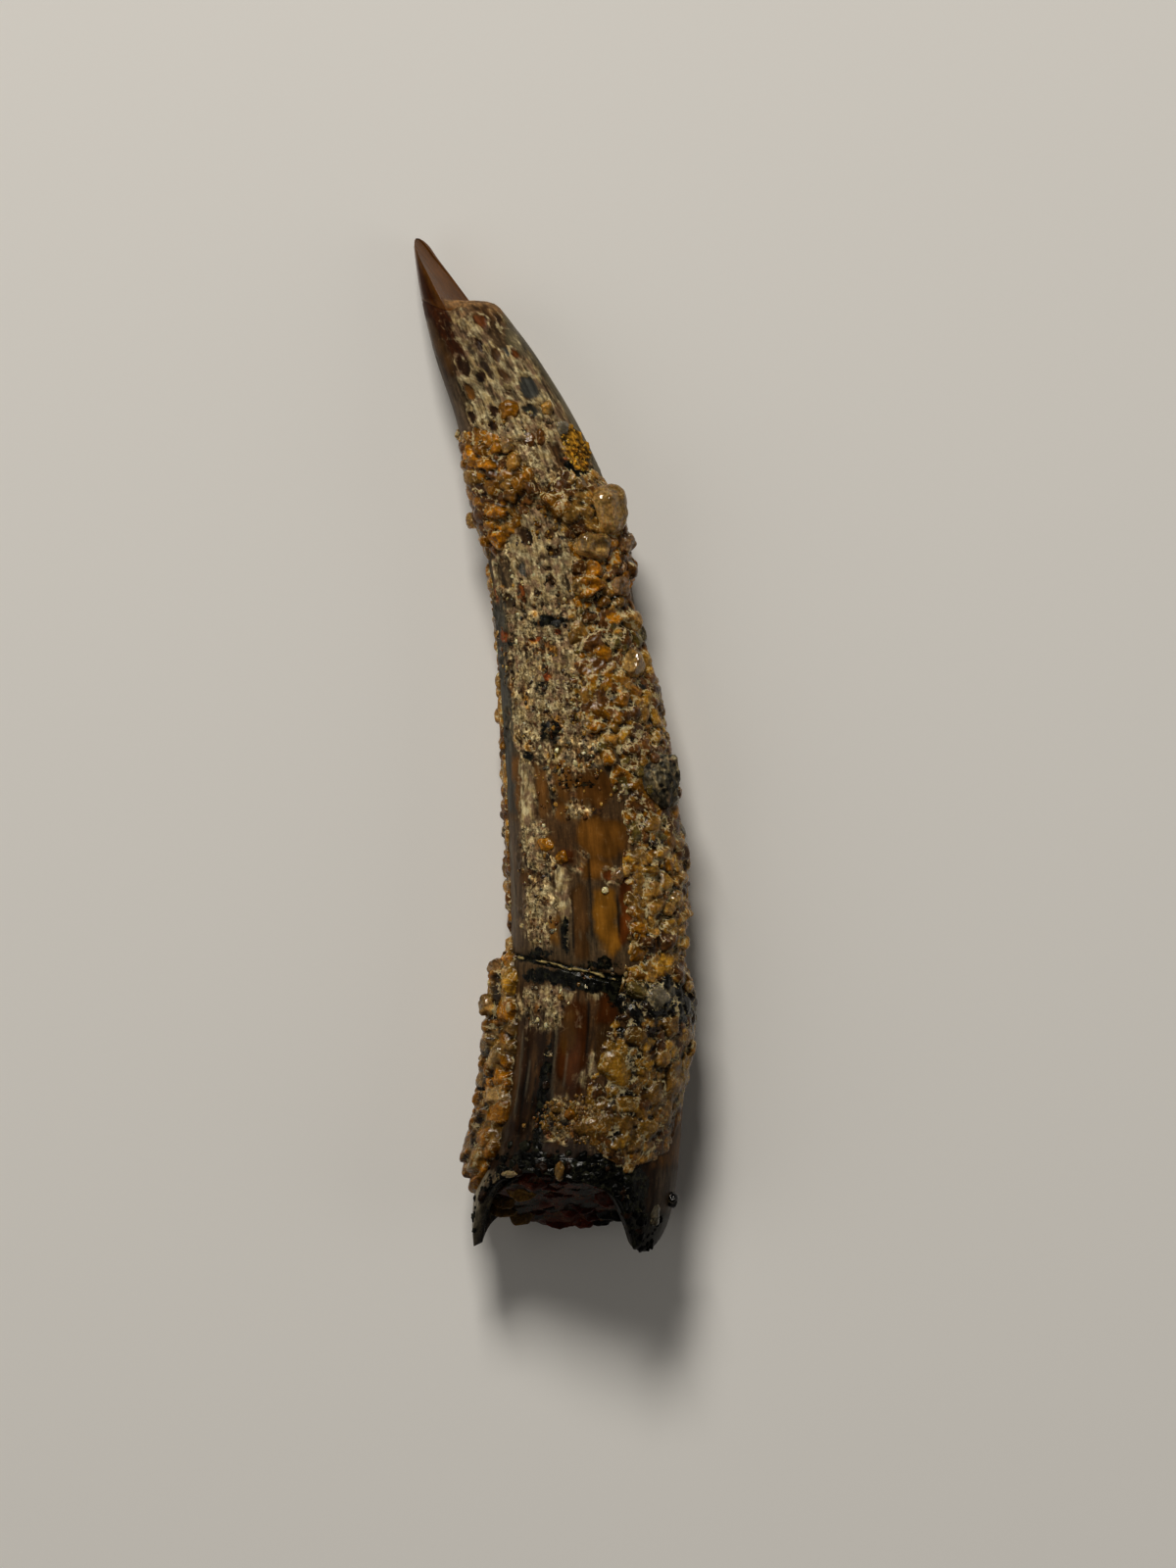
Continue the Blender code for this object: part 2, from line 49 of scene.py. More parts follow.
# The unbroken tooth: place along it, its left edge and its right edge.
OUTLINE = (
    (-20.7, -3.24, 4.3), (-19.7, -3.32, 4.66), (-18.3, -3.22, 4.98), (-15.9, -2.46, 5.2),
    (-12.9, -1.94, 5.42), (-10.9, -1.78, 5.5), (-6.9, -1.74, 5.26), (-2.9, -1.86, 4.86), (1.1, -2.06, 4.22),
    (4.7, -2.34, 3.5), (7.9, -2.74, 2.9), (10.5, -3.38, 2.14), (13.1, -3.94, 0.94), (15.9, -4.84, -0.74),
    (18.06, -5.38, -2.38), (19.5, -5.62, -3.44), (20.7, -5.74, -4.38), (22.1, -5.74, -5.4),
)
DEPTH_PER_WIDTH = 0.78
UNDERSIDE_RISE = (
    (-20.7, 0.3), (-16.0, 0.07), (-12.0, 0.0), (4.0, 0.0), (10.0, 0.14), (18.0, 0.55), (22.1, 0.85),
)
WORN_FLAT_DEPTH = 0.13
WEATHERING = 0.05
WEATHERING_SCALE = 0.55

# The broken root: its rim by angle in degrees, and the wall's thickness along the tooth.
ROOT_RIM = (
    (0, -19.3), (8, -19.8), (16, -20.3), (26, -20.65), (36, -20.7), (45, -20.4), (54, -19.6), (66, -18.5),
    (84, -17.9), (104, -17.6), (124, -17.5), (142, -17.8), (156, -18.5), (168, -19.7), (178, -20.55),
    (190, -20.3), (214, -19.5), (240, -19.35), (270, -19.55), (300, -19.35), (330, -19.6), (350, -19.3),
    (360, -19.3),
)
ROOT_CLEAN_TOP = -16.2
WALL = ((-20.7, 0.34), (-19.5, 0.5), (-17.5, 0.7), (-14.0, 1.0), (-11.0, 1.7), (-9.8, 2.1))
CAVITY_PLACES = (-9.8, -11.8, -14.0)
CAVITY_UNEVEN = 0.09
RIM_BEVEL = 0.12

CRACK_ALONG = -9.05
CRACK_SLOPE = -0.228
CRACK_REACH = 4.5
CRACK_HALF_WIDTH = 0.13
CRACK_DEPTH = 0.16
FAR_FROM_CRACK = 9.0
# Furrows along the shaft: angle in degrees, from, to, depth.
FURROWS = ((110, -17.4, -11.6, 0.14), (100, -7.9, -4.4, 0.09), (130, -16.6, -12.2, 0.06))
FURROW_HALF_ANGLE = 10.0

# The broken tip: the spall's plane, its distance from the axis, and the ledge under it.
SPALL_ANGLE = math.radians(28)
SPALL_DISTANCE = ((18.0, -0.09), (19.1, -0.31), (19.9, -0.47), (20.7, -0.51), (22.1, -0.45))
SPALL_HOLLOW = 0.07
LEDGE_ALONG = 18.06
LEDGE_DIP = 0.42
LEDGE_DIP_ANGLE = math.radians(116)
LEDGE_DIP_SPREAD = math.radians(24)
LEDGE_HEIGHT = 0.04
LEDGE_UNEVEN = 0.05
SHOULDER_RADIUS = 0.34
TIP_ALONG = 20.7
TIP_ROUNDING = 0.45
TIP_SHARE = 0.12

# The sand in the pulp cavity.
FILLING_END_TOP = -17.75
FILLING_END_BOTTOM = -19.75
FILLING_LUMP = 0.42
FILLING_LUMP_SCALE = 1.25
FILLING_GAP = 0.08
FILLING_HEIGHTS = (0.45, 4.75)
FILLING_COLUMNS = 96
FILLING_RINGS = 30

# Each crust: place along the tooth, angle of its lower edge and of its upper edge in degrees, thickness.
RIGHT_CRUST = (
    (-17.1, 52, 62, 0.22), (-16.5, 32, 78, 0.24), (-15.4, 22, 85, 0.28), (-13.6, 4, 85, 0.34),
    (-11.8, -26, 77, 0.36), (-10.4, -22, 70, 0.36), (-9.0, 12, 64, 0.34), (-7.9, 4, 62, 0.36),
    (-6.3, -26, 63, 0.42), (-2.9, -32, 61, 0.38), (-0.6, -32, 70, 0.38), (1.3, -28, 84, 0.38),
    (3.2, -2, 84, 0.38), (4.7, 8, 80, 0.4), (6.1, 20, 74, 0.42), (7.5, -10, 71, 0.44), (8.8, -12, 74, 0.46),
    (9.7, -8, 89, 0.48), (10.5, 6, 78, 0.42), (10.9, 22, 62, 0.32),
)
UPPER_LEFT_CRUST = (
    (7.8, 144, 178, 0.26), (8.7, 124, 182, 0.4), (9.9, 101, 179, 0.46), (11.3, 97, 176, 0.46),
    (12.6, 118, 168, 0.3),
)
LEFT_EDGE_CRUST = (
    (-7.6, 182, 196, 0.26), (-5.6, 178, 212, 0.34), (-2.5, 177, 216, 0.36), (0.4, 178, 212, 0.34),
    (2.2, 184, 208, 0.26), (4.0, 187, 208, 0.26), (5.6, 180, 211, 0.36), (7.2, 181, 199, 0.28),
)
LOWER_LEFT_CRUST = (
    (-18.0, 172, 190, 0.55), (-17.0, 161, 206, 1.02), (-15.4, 158, 212, 1.08), (-13.0, 160, 212, 1.1),
    (-10.8, 162, 209, 1.06), (-9.2, 165, 203, 0.72), (-8.2, 172, 192, 0.34),
)

# The ironstone pebble.
NODULE_ALONG = -1.5
NODULE_ANGLE = math.radians(33)
NODULE_LIFT = 0.3
NODULE_RADII = (0.92, 1.02, 0.72)
NODULE_LUMP = 0.08
NODULE_KNOBS = (((0.45, 0.75, 0.5), 0.2), ((0.05, -0.9, 0.42), 0.3))
NODULE_KNOB_WIDTH = 0.32

# Mesh steps of the tooth's surface, and the angles of its upper side in degrees.
TOP_COLUMNS = 136
LOW_COLUMNS = 50
TOP_FROM = -20
TOP_TO = 200
RIM_STEPS = 44
ROW_STEP = 0.1
CRACK_ROW_STEP = 0.045
CRACK_ROWS_REACH = 0.4
LEDGE_BASE = 17.3
LEDGE_STEPS = 8
LEDGE_RINGS = 7
SPIKE_STEP = 0.09
CAVITY_STEPS = 24

# Colours of the tooth, as linear reflectance.
CHOCOLATE = (0.036, 0.016, 0.006)
BROWN = (0.085, 0.042, 0.014)
GREY_BROWN = (0.09, 0.062, 0.032)
AMBER_BROWN = (0.15, 0.066, 0.012)
AMBER = (0.23, 0.105, 0.014)
RED_BROWN = (0.11, 0.034, 0.006)
DEEP_BROWN = (0.072, 0.023, 0.004)
FACET_BROWN = (0.132, 0.047, 0.005)
SPIKE_BROWN = (0.05, 0.013, 0.001)
# A pale rim of light painted down the spike's left edge, as a painted highlight.
SPIKE_RIM_LIGHT = (0.3, 0.24, 0.22)
VIOLET_GREY = (0.1, 0.066, 0.038)
BLUE_GREY = (0.08, 0.08, 0.07)
SLATE = (0.062, 0.057, 0.044)
OLIVE_GREY = (0.12, 0.096, 0.052)
DARK_GREY = (0.04, 0.036, 0.026)
FANG_GREY = (0.36, 0.31, 0.22)
STAIN_BLACK = (0.004, 0.004, 0.003)
STAIN_OLIVE = (0.022, 0.022, 0.012)
CREAM = (0.43, 0.32, 0.15)
WHITE_CREAM = (0.66, 0.56, 0.33)
PINKISH = (0.27, 0.175, 0.1)
OCHRE = (0.32, 0.18, 0.04)
LIMONITE = (0.58, 0.3, 0.03)
LEDGE_PALE = (0.29, 0.165, 0.068)
RUST = (0.26, 0.07, 0.015)
THREAD_YELLOW = (0.42, 0.33, 0.14)

# Colours of the sand grains.
HONEY = (0.3, 0.16, 0.03)
PALE_HONEY = (0.5, 0.31, 0.105)
GOLD = (0.38, 0.205, 0.024)
GRAIN_AMBER = (0.28, 0.122, 0.006)
ORANGE = (0.41, 0.172, 0.005)
PINK = (0.4, 0.24, 0.105)
OLIVE = (0.14, 0.1, 0.024)
GRAIN_BROWN = (0.13, 0.056, 0.012)
DARK_BROWN = (0.046, 0.024, 0.009)
GRAIN_BLACK = (0.01, 0.009, 0.007)
SMOKE = (0.19, 0.16, 0.105)
DARK_RED = (0.17, 0.027, 0.004)
DEEP_RED = (0.085, 0.012, 0.002)
IRONSTONE = (0.052, 0.047, 0.033)

# The enamel's own colour along the tooth.
ENAMEL_ALONG = (
    (-20.7, CHOCOLATE), (-17.0, CHOCOLATE), (-14.5, BROWN), (-10.5, BROWN), (-8.0, GREY_BROWN), (-4.0, BROWN),
    (0.0, GREY_BROWN), (7.0, GREY_BROWN), (12.0, BROWN), (15.0, GREY_BROWN), (17.6, BROWN), (20.7, CHOCOLATE),
)
# How much darker the colours are painted along the tooth: towards the root partly for stain and partly as
# painted shade where the light falls off, and a little darker from 14.6 to 18.
DARKENING_ALONG = (
    (-20.7, 0.42), (-17.0, 0.5), (-14.0, 0.62), (-11.0, 0.8), (-7.0, 1.0), (12.4, 1.0), (14.6, 0.84),
    (18.0, 0.84), (19.0, 0.94),
)
# Smooth stretches of the tooth's two edges: from, to, share of the half width where it begins, colour.
LEFT_EDGES = (
    (-8.6, -3.0, 0.8, VIOLET_GREY), (-3.0, 5.9, 0.87, SLATE), (12.4, 15.4, 0.8, VIOLET_GREY),
    (15.0, 18.6, 0.42, SPIKE_BROWN), (15.0, 17.4, 0.86, VIOLET_GREY), (-20.6, -17.4, 0.88, FANG_GREY),
)
RIGHT_EDGES = (
    (10.4, 17.6, 0.88, OLIVE_GREY), (-17.4, -14.2, 0.76, AMBER_BROWN), (-19.3, -17.2, 0.8, VIOLET_GREY),
    (-10.0, -7.6, 0.7, SLATE), (-20.8, -19.1, 0.5, DARK_GREY),
)

# Smooth spots of bare enamel: colour, across, along, half width, half length, squareness.
WINDOWS = (
    (AMBER_BROWN, 1.98, -3.8, 1.06, 0.95, 0.3), (AMBER_BROWN, -0.28, -4.14, 0.42, 0.36, 0.0),
    (RED_BROWN, 0.52, -4.74, 0.52, 0.46, 0.0), (AMBER_BROWN, 1.8, -5.2, 0.76, 0.46, 0.3),
    (GRAIN_BROWN, 1.66, -1.8, 0.95, 0.95, 0.1), (AMBER_BROWN, 0.4, -1.6, 0.5, 0.9, 0.0),
    (BROWN, 1.14, -7.3, 0.34, 1.5, 1.0), (AMBER, 2.12, -7.25, 0.52, 1.3, 1.0),
    (RED_BROWN, 2.94, -6.6, 0.3, 1.6, 0.8), (AMBER, 0.06, -7.6, 0.27, 0.72, 0.6),
    (BROWN, -1.08, -5.7, 0.3, 0.36, 0.4), (AMBER_BROWN, -1.4, -2.0, 0.17, 1.5, 0.5),
    (AMBER_BROWN, -0.42, -1.9, 0.3, 1.1, 0.3), (AMBER_BROWN, 0.35, -2.8, 0.28, 0.6, 0.2),
    (DEEP_BROWN, 0.76, -12.4, 0.62, 2.2, 0.6), (AMBER_BROWN, 0.6, -11.7, 0.34, 0.9, 0.3),
    (DEEP_BROWN, 2.28, -10.7, 0.46, 0.95, 0.4), (BROWN, 2.1, -12.3, 0.4, 0.9, 0.4),
    (CHOCOLATE, -1.1, -13.6, 0.92, 3.2, 0.6), (BROWN, -1.5, -13.4, 0.22, 2.6, 0.8),
    (BROWN, -0.9, -14.2, 0.14, 2.0, 0.8), (VIOLET_GREY, -1.95, -15.6, 0.2, 1.2, 0.6),
    (BROWN, -4.55, 16.1, 0.34, 1.3, 0.4), (OLIVE_GREY, -1.46, 16.3, 0.42, 0.85, 0.4),
)
# Cement films: across, along, half width, half length, share covered.
CEMENT_SPOTS = (
    (-3.1, 15.4, 1.3, 2.6, 0.52), (-2.1, 13.6, 1.6, 1.2, 0.6), (-1.0, 14.3, 0.7, 0.9, 0.78),
    (-0.4, 12.9, 0.7, 0.9, 0.72), (-0.6, 11.6, 0.8, 0.8, 0.62), (0.6, 10.5, 0.7, 0.5, 0.85),
    (-0.5, 7.6, 1.4, 1.9, 0.8), (0.6, 6.6, 1.2, 1.4, 0.62), (-1.3, 5.8, 1.0, 1.0, 0.62),
    (-0.1, 3.6, 1.9, 2.8, 0.55), (-0.7, 1.2, 1.3, 2.0, 0.58), (0.8, 0.6, 1.4, 1.4, 0.45),
    (-1.15, -1.9, 0.42, 1.6, 0.92), (0.3, -1.2, 1.3, 0.8, 0.42), (-0.8, -4.1, 0.75, 1.2, 0.72),
    (-0.7, -6.9, 0.95, 1.5, 0.62), (0.4, -6.1, 0.36, 1.2, 0.7), (0.52, -7.4, 0.16, 1.2, 0.7),
    (2.62, -5.42, 0.34, 0.36, 0.95), (3.55, -6.1, 0.34, 1.7, 0.82), (-0.2, -10.8, 1.3, 1.1, 0.58),
    (-1.3, -11.4, 0.7, 1.2, 0.55), (1.1, -11.3, 0.22, 0.4, 0.8), (1.62, -13.1, 0.28, 0.55, 0.8),
    (1.1, -13.7, 0.28, 0.4, 0.8), (1.7, -10.1, 0.6, 0.4, 0.5), (0.6, -14.9, 0.8, 0.5, 0.55),
    (2.4, -15.6, 1.8, 1.2, 0.5), (3.6, -13.6, 1.4, 2.2, 0.45), (-2.5, -15.2, 0.3, 1.4, 0.7),
    (-1.8, -17.55, 0.6, 0.22, 0.95), (0.28, -17.3, 0.22, 0.42, 0.9), (-2.7, -18.4, 0.35, 0.7, 0.75),
    (-0.2, -12.72, 0.18, 0.14, 1.0), (-1.9, -12.9, 0.22, 1.4, 0.55), (-0.92, 15.3, 0.42, 1.8, 0.62),
    (0.36, 13.2, 0.42, 1.2, 0.62), (-1.8, 16.9, 0.5, 0.8, 0.5),
)
# Ground of fine cemented grit: across, along, half width, half length, share covered.
GRIT_SPOTS = (
    (-0.2, 4.0, 2.6, 3.6, 1.0), (0.2, 0.8, 2.3, 2.6, 1.0), (-0.2, 7.4, 1.9, 1.9, 0.75),
    (-1.6, 12.8, 2.0, 0.8, 0.7), (0.6, -2.0, 1.8, 1.4, 0.55), (-0.7, -4.6, 0.9, 1.5, 0.85),
    (-0.6, -7.0, 0.9, 1.3, 0.7), (1.2, -4.6, 1.6, 0.9, 0.35), (0.4, -15.3, 1.5, 1.1, 0.85),
    (3.3, -15.4, 1.9, 1.3, 0.9), (-0.4, -10.9, 1.5, 1.0, 0.55), (3.6, -6.0, 0.6, 2.4, 0.8),
    (-0.9, 10.4, 1.6, 1.6, 0.8), (1.1, 11.3, 0.8, 0.9, 0.7),
)
# Ground pitted by grains that fell out: across, along, half width, half length, share covered.
PIT_SPOTS = (
    (-3.0, 15.6, 1.1, 2.2, 0.8), (-1.6, 14.6, 1.2, 1.8, 0.85), (-2.0, 13.2, 1.6, 0.9, 0.7),
    (0.2, 12.6, 0.6, 0.8, 0.6), (-0.5, 7.6, 1.3, 2.0, 0.9), (-1.5, 6.2, 0.8, 1.2, 0.7),
    (0.9, 6.6, 0.6, 1.2, 0.7), (0.2, 9.6, 0.6, 1.0, 0.7),
)
PIT_CELL = (0.38, 0.88, 0.38)
PIT_DEPTH = 0.09
PIT_PALETTE = (
    (CHOCOLATE, 0.3), (BROWN, 0.25), (GREY_BROWN, 0.2), (DARK_BROWN, 0.15), (BLUE_GREY, 0.1),
)
# Black stain: across, along, half width, half length, share covered. The spots at the root end, at -17 and
# beyond, are black partly for stain and partly as painted shade.
STAIN_SPOTS = (
    (0.2, -9.5, 1.5, 0.36, 0.95), (1.6, -9.85, 1.3, 0.4, 0.95), (2.5, -9.9, 0.6, 0.5, 0.9),
    (1.9, -9.0, 1.0, 0.26, 0.6), (-0.6, -8.6, 0.6, 0.26, 0.5), (4.1, -10.55, 1.9, 0.66, 0.95),
    (0.3, -17.45, 2.6, 0.7, 1.0), (1.9, -18.3, 1.9, 1.5, 1.1), (3.0, -18.9, 0.8, 0.8, 1.0),
    (-0.9, -17.1, 1.3, 0.5, 0.8), (-0.45, -14.6, 0.24, 2.6, 0.85), (-0.98, -0.5, 0.24, 0.28, 0.85),
    (0.9, 11.1, 0.55, 0.42, 0.95), (0.52, -7.9, 0.18, 0.9, 0.7), (3.6, -6.4, 0.2, 1.3, 0.45),
    (0.9, -1.7, 0.8, 0.3, 0.45), (-2.4, -18.7, 0.7, 0.9, 0.7), (-0.2, 4.9, 0.9, 0.24, 0.5),
    (-1.9, 4.05, 0.5, 0.1, 0.9), (-0.1, 2.2, 0.8, 0.3, 0.4), (-0.1, 0.4, 0.45, 0.5, 0.5),
)
# Dark hollows that grains have left: colour, across, along, half width, half length.
HOLLOWS = (
    (BLUE_GREY, -0.98, 14.46, 0.42, 0.5), (SLATE, -1.0, 13.5, 0.34, 0.28),
    (CHOCOLATE, -2.42, 13.46, 0.18, 0.22), (CHOCOLATE, -2.9, 14.94, 0.18, 0.32),
    (CHOCOLATE, -3.62, 15.3, 0.18, 0.4), (RED_BROWN, -2.98, 17.2, 0.24, 0.26),
    (CHOCOLATE, -2.34, 17.36, 0.12, 0.26), (RED_BROWN, -1.58, 15.84, 0.2, 0.22),
    (BROWN, -2.3, 15.8, 0.18, 0.3), (BROWN, -2.05, 14.9, 0.2, 0.34), (CHOCOLATE, -3.05, 16.2, 0.14, 0.3),
    (AMBER_BROWN, -3.42, 14.3, 0.14, 0.44), (CHOCOLATE, -3.3, 13.3, 0.14, 0.2),
    (DARK_BROWN, -1.1, 8.4, 0.26, 0.46), (DARK_BROWN, -0.1, 8.5, 0.26, 0.28),
    (DARK_BROWN, 0.02, 7.74, 0.2, 0.26), (DARK_BROWN, -0.12, 7.9, 0.16, 0.16),
    (DARK_BROWN, -0.2, 7.06, 0.24, 0.22), (DARK_BROWN, -0.1, 6.6, 0.22, 0.3),
    (GREY_BROWN, -1.9, 6.9, 0.34, 0.6), (RED_BROWN, -1.2, 6.2, 0.14, 0.5), (CHOCOLATE, -0.6, 6.1, 0.14, 0.16),
    (GREY_BROWN, -1.7, 5.7, 0.24, 0.34), (RED_BROWN, 2.22, -5.42, 0.18, 0.22),
    (BLUE_GREY, 3.6, -5.42, 0.24, 0.26), (STAIN_BLACK, 3.66, -6.7, 0.18, 0.3),
    (BROWN, 3.42, -7.42, 0.26, 0.2), (CHOCOLATE, -1.2, 9.5, 0.24, 0.2), (OLIVE, 0.15, -0.35, 0.2, 0.4),
    (CHOCOLATE, 1.0, 2.6, 0.26, 0.2), (OLIVE, 0.85, 0.95, 0.3, 0.26), (DARK_BROWN, 2.1, -14.9, 0.24, 0.12),
)
HOLLOW_DEPTH = 0.17
RING_RELIEF = 0.05
# Dark seams between the planks of enamel: across, from, to, half width.
SEAMS = (
    (1.52, -8.1, -4.6, 0.055), (0.78, -8.6, -5.9, 0.045), (2.66, -8.0, -6.2, 0.03),
    (-0.2, -17.2, -11.6, 0.09), (-1.72, -15.5, -11.0, 0.04), (-1.22, -17.0, -12.2, 0.04),
    (-0.86, -16.8, -12.6, 0.035), (0.34, -8.4, -6.8, 0.05), (1.42, -12.9, -10.4, 0.03),
)
# Thin pale lines along the tooth: across, from, to, half width.
PALE_LINES = (
    (-0.02, -16.6, -11.2, 0.05), (0.52, -14.2, -12.5, 0.05), (-1.36, -15.4, -11.6, 0.04),
    (-1.02, -14.6, -12.8, 0.03), (1.06, -8.2, -6.6, 0.03), (-1.62, -7.6, -3.8, 0.03),
    (0.4, 11.2, 16.6, 0.035), (0.2, 12.0, 17.2, 0.03), (0.04, 11.0, 15.2, 0.03),
)
# Small red-orange specks: across, along, half width, half length.
RUST_SPECKS = (
    (-1.98, 4.3, 0.14, 0.26), (-0.7, 4.16, 0.24, 0.11), (0.24, 4.55, 0.22, 0.1), (-0.3, 2.7, 0.12, 0.26),
    (2.3, 0.28, 0.12, 0.2), (2.05, 4.2, 0.12, 0.12), (-1.4, 6.0, 0.1, 0.16),
)
CRACK_THREAD_SPAN = (-1.6, 2.7)
CRACK_THREAD_HALF_WIDTH = 0.036

# The limonite crust: across, along, half width, half length, and the height of its knobs.
LIMONITE_SPOTS = ((0.88, 12.0, 0.5, 0.95), (0.62, 12.5, 0.32, 0.36), (1.14, 11.5, 0.26, 0.42))
LIMONITE_HEIGHT = 0.22
LIMONITE_CELL = 0.21

# Relief of each surface, and how strongly hollows are darkened as painted shade.
CEMENT_RELIEF = 0.075
GRIT_RELIEF = 0.13
STREAK_RELIEF = 0.016
SEAM_DEPTH = 0.06
HOLLOW_SHADE = 5.0
# Where the cement's patches turn into streaks, towards the tip.
STREAKY_SPAN = (12.4, 14.2)
# The grit's cells, and its colours with their shares.
GRIT_CELL = 0.27
GRIT_PALETTE = (
    (GREY_BROWN, 0.18), (CHOCOLATE, 0.26), (BROWN, 0.16), (CREAM, 0.12), (HONEY, 0.07), (OLIVE_GREY, 0.06),
    (WHITE_CREAM, 0.05), (AMBER_BROWN, 0.05), (RUST, 0.015), (BLUE_GREY, 0.025),
)
# The ground of the sand crusts: its cells, and its colours with their shares.
GROUND_CELL = 0.25
GROUND_PALETTE = ((CHOCOLATE, 0.35), (BROWN, 0.3), (GRAIN_BROWN, 0.2), (GREY_BROWN, 0.15))

# The grains that show best: colour, across, along, half width, half length, height, dent.
RIGHT_GRAINS = (
    (PALE_HONEY, 2.0, 9.46, 0.72, 0.98, 0.92, 0.12), (PALE_HONEY, 1.54, 7.96, 0.66, 0.56, 0.7, 0.45),
    (PINK, 2.66, 8.16, 0.46, 0.44, 0.6, 0.0), (ORANGE, 3.02, 7.36, 0.32, 0.34, 0.44, 0.0),
    (ORANGE, 1.58, 7.1, 0.46, 0.34, 0.6, 0.15), (ORANGE, 1.4, 6.32, 0.64, 0.5, 0.72, 0.4),
    (PINK, 2.52, 6.38, 0.42, 0.42, 0.58, 0.0), (HONEY, 2.54, 5.76, 0.36, 0.28, 0.5, 0.0),
    (HONEY, 3.02, 4.98, 0.56, 0.48, 0.56, 0.1), (OLIVE, 2.36, 4.12, 0.34, 0.36, 0.44, 0.0),
    (PALE_HONEY, 3.1, 3.16, 0.58, 0.56, 0.64, 0.0), (HONEY, 3.86, 2.48, 0.26, 0.3, 0.46, 0.0),
    (GRAIN_AMBER, 0.1, 9.7, 0.58, 0.58, 0.66, 0.4), (OCHRE, 1.06, 10.5, 0.28, 0.34, 0.4, 0.0),
    (PINK, 5.22, -2.04, 0.24, 0.28, 0.52, 0.0), (DARK_BROWN, 3.96, -4.18, 0.2, 0.22, 0.4, 0.5),
    (GOLD, 5.26, -4.84, 0.3, 0.42, 0.54, 0.0), (GOLD, 5.14, -8.14, 0.36, 0.32, 0.42, 0.0),
    (PALE_HONEY, 5.24, -9.96, 0.3, 0.24, 0.44, 0.0), (HONEY, 5.38, -12.52, 0.24, 0.38, 0.46, 0.0),
    (HONEY, 3.3, -11.92, 0.48, 0.46, 0.4, 0.0), (GOLD, 2.6, -13.3, 0.8, 0.9, 0.32, 0.0),
    (GOLD, 3.0, -14.66, 0.8, 0.36, 0.3, 0.0), (GOLD, 4.3, -4.5, 0.44, 0.4, 0.46, 0.0),
    (GOLD, 4.42, -5.6, 0.44, 0.44, 0.46, 0.0), (HONEY, 4.1, -6.7, 0.44, 0.5, 0.46, 0.0),
    (PALE_HONEY, 4.86, -6.4, 0.36, 0.42, 0.46, 0.0), (GOLD, 4.6, -7.5, 0.4, 0.4, 0.44, 0.0),
    (GRAIN_BROWN, 3.74, -8.1, 0.34, 0.32, 0.4, 0.0), (GRAIN_AMBER, 2.7, 1.7, 0.36, 0.4, 0.46, 0.0),
    (HONEY, 3.56, 1.1, 0.38, 0.4, 0.46, 0.0), (GRAIN_AMBER, 2.2, -0.6, 0.4, 0.36, 0.44, 0.0),
    (ORANGE, 1.66, 0.6, 0.3, 0.34, 0.36, 0.0), (GRAIN_BROWN, 3.1, -0.3, 0.4, 0.34, 0.42, 0.0),
    (HONEY, 3.96, -3.3, 0.44, 0.38, 0.44, 0.0), (GOLD, 4.0, 0.2, 0.34, 0.32, 0.46, 0.0),
    (HONEY, 4.3, -12.9, 0.4, 0.4, 0.42, 0.0), (OLIVE, 3.4, -10.1, 0.46, 0.4, 0.44, 0.0),
    (HONEY, 2.66, -9.9, 0.32, 0.28, 0.38, 0.0), (GRAIN_AMBER, 1.94, 5.7, 0.34, 0.28, 0.44, 0.0),
    (GRAIN_BROWN, 1.46, 5.1, 0.36, 0.3, 0.42, 0.0), (OCHRE, 0.72, 5.2, 0.3, 0.24, 0.36, 0.0),
    (GRAIN_BROWN, 1.02, 7.1, 0.3, 0.36, 0.4, 0.0), (PALE_HONEY, 1.02, 6.4, 0.26, 0.4, 0.4, 0.0),
    (HONEY, 4.1, -14.3, 0.62, 0.52, 0.34, 0.0), (GOLD, 3.8, -15.7, 0.6, 0.44, 0.28, 0.0),
    (HONEY, 1.7, -15.6, 0.5, 0.4, 0.26, 0.0), (HONEY, 4.66, -11.5, 0.5, 0.46, 0.4, 0.0),
    (GOLD, 2.7, -16.2, 0.46, 0.34, 0.24, 0.0), (HONEY, 4.8, -13.2, 0.4, 0.46, 0.38, 0.0),
)
UPPER_LEFT_GRAINS = (
    (ORANGE, -2.54, 11.34, 0.42, 0.28, 0.62, 0.0), (GRAIN_AMBER, -2.84, 11.86, 0.38, 0.3, 0.5, 0.0),
    (PALE_HONEY, -1.88, 12.1, 0.3, 0.34, 0.44, 0.35), (HONEY, -3.06, 10.8, 0.44, 0.42, 0.56, 0.0),
    (GRAIN_BROWN, -2.8, 10.26, 0.38, 0.36, 0.56, 0.25), (GRAIN_BROWN, -2.36, 10.92, 0.3, 0.26, 0.46, 0.0),
    (GRAIN_AMBER, -1.4, 10.6, 0.36, 0.42, 0.54, 0.0), (ORANGE, -1.0, 10.9, 0.3, 0.34, 0.46, 0.0),
    (GRAIN_AMBER, -1.6, 9.96, 0.36, 0.34, 0.5, 0.0), (GRAIN_BROWN, -0.88, 10.3, 0.3, 0.34, 0.42, 0.0),
    (PALE_HONEY, -3.04, 9.06, 0.32, 0.32, 0.54, 0.0), (ORANGE, -2.2, 9.44, 0.44, 0.34, 0.54, 0.0),
    (GRAIN_AMBER, -2.64, 8.26, 0.3, 0.32, 0.5, 0.0), (ORANGE, -2.06, 8.24, 0.32, 0.38, 0.5, 0.25),
    (GRAIN_AMBER, -2.38, 8.76, 0.28, 0.26, 0.46, 0.0), (GRAIN_AMBER, -3.36, 11.3, 0.26, 0.26, 0.44, 0.0),
    (GRAIN_AMBER, -2.2, 11.96, 0.26, 0.36, 0.42, 0.0), (HONEY, -1.56, 11.4, 0.3, 0.4, 0.46, 0.0),
    (HONEY, -1.8, 10.4, 0.26, 0.26, 0.44, 0.0),
)
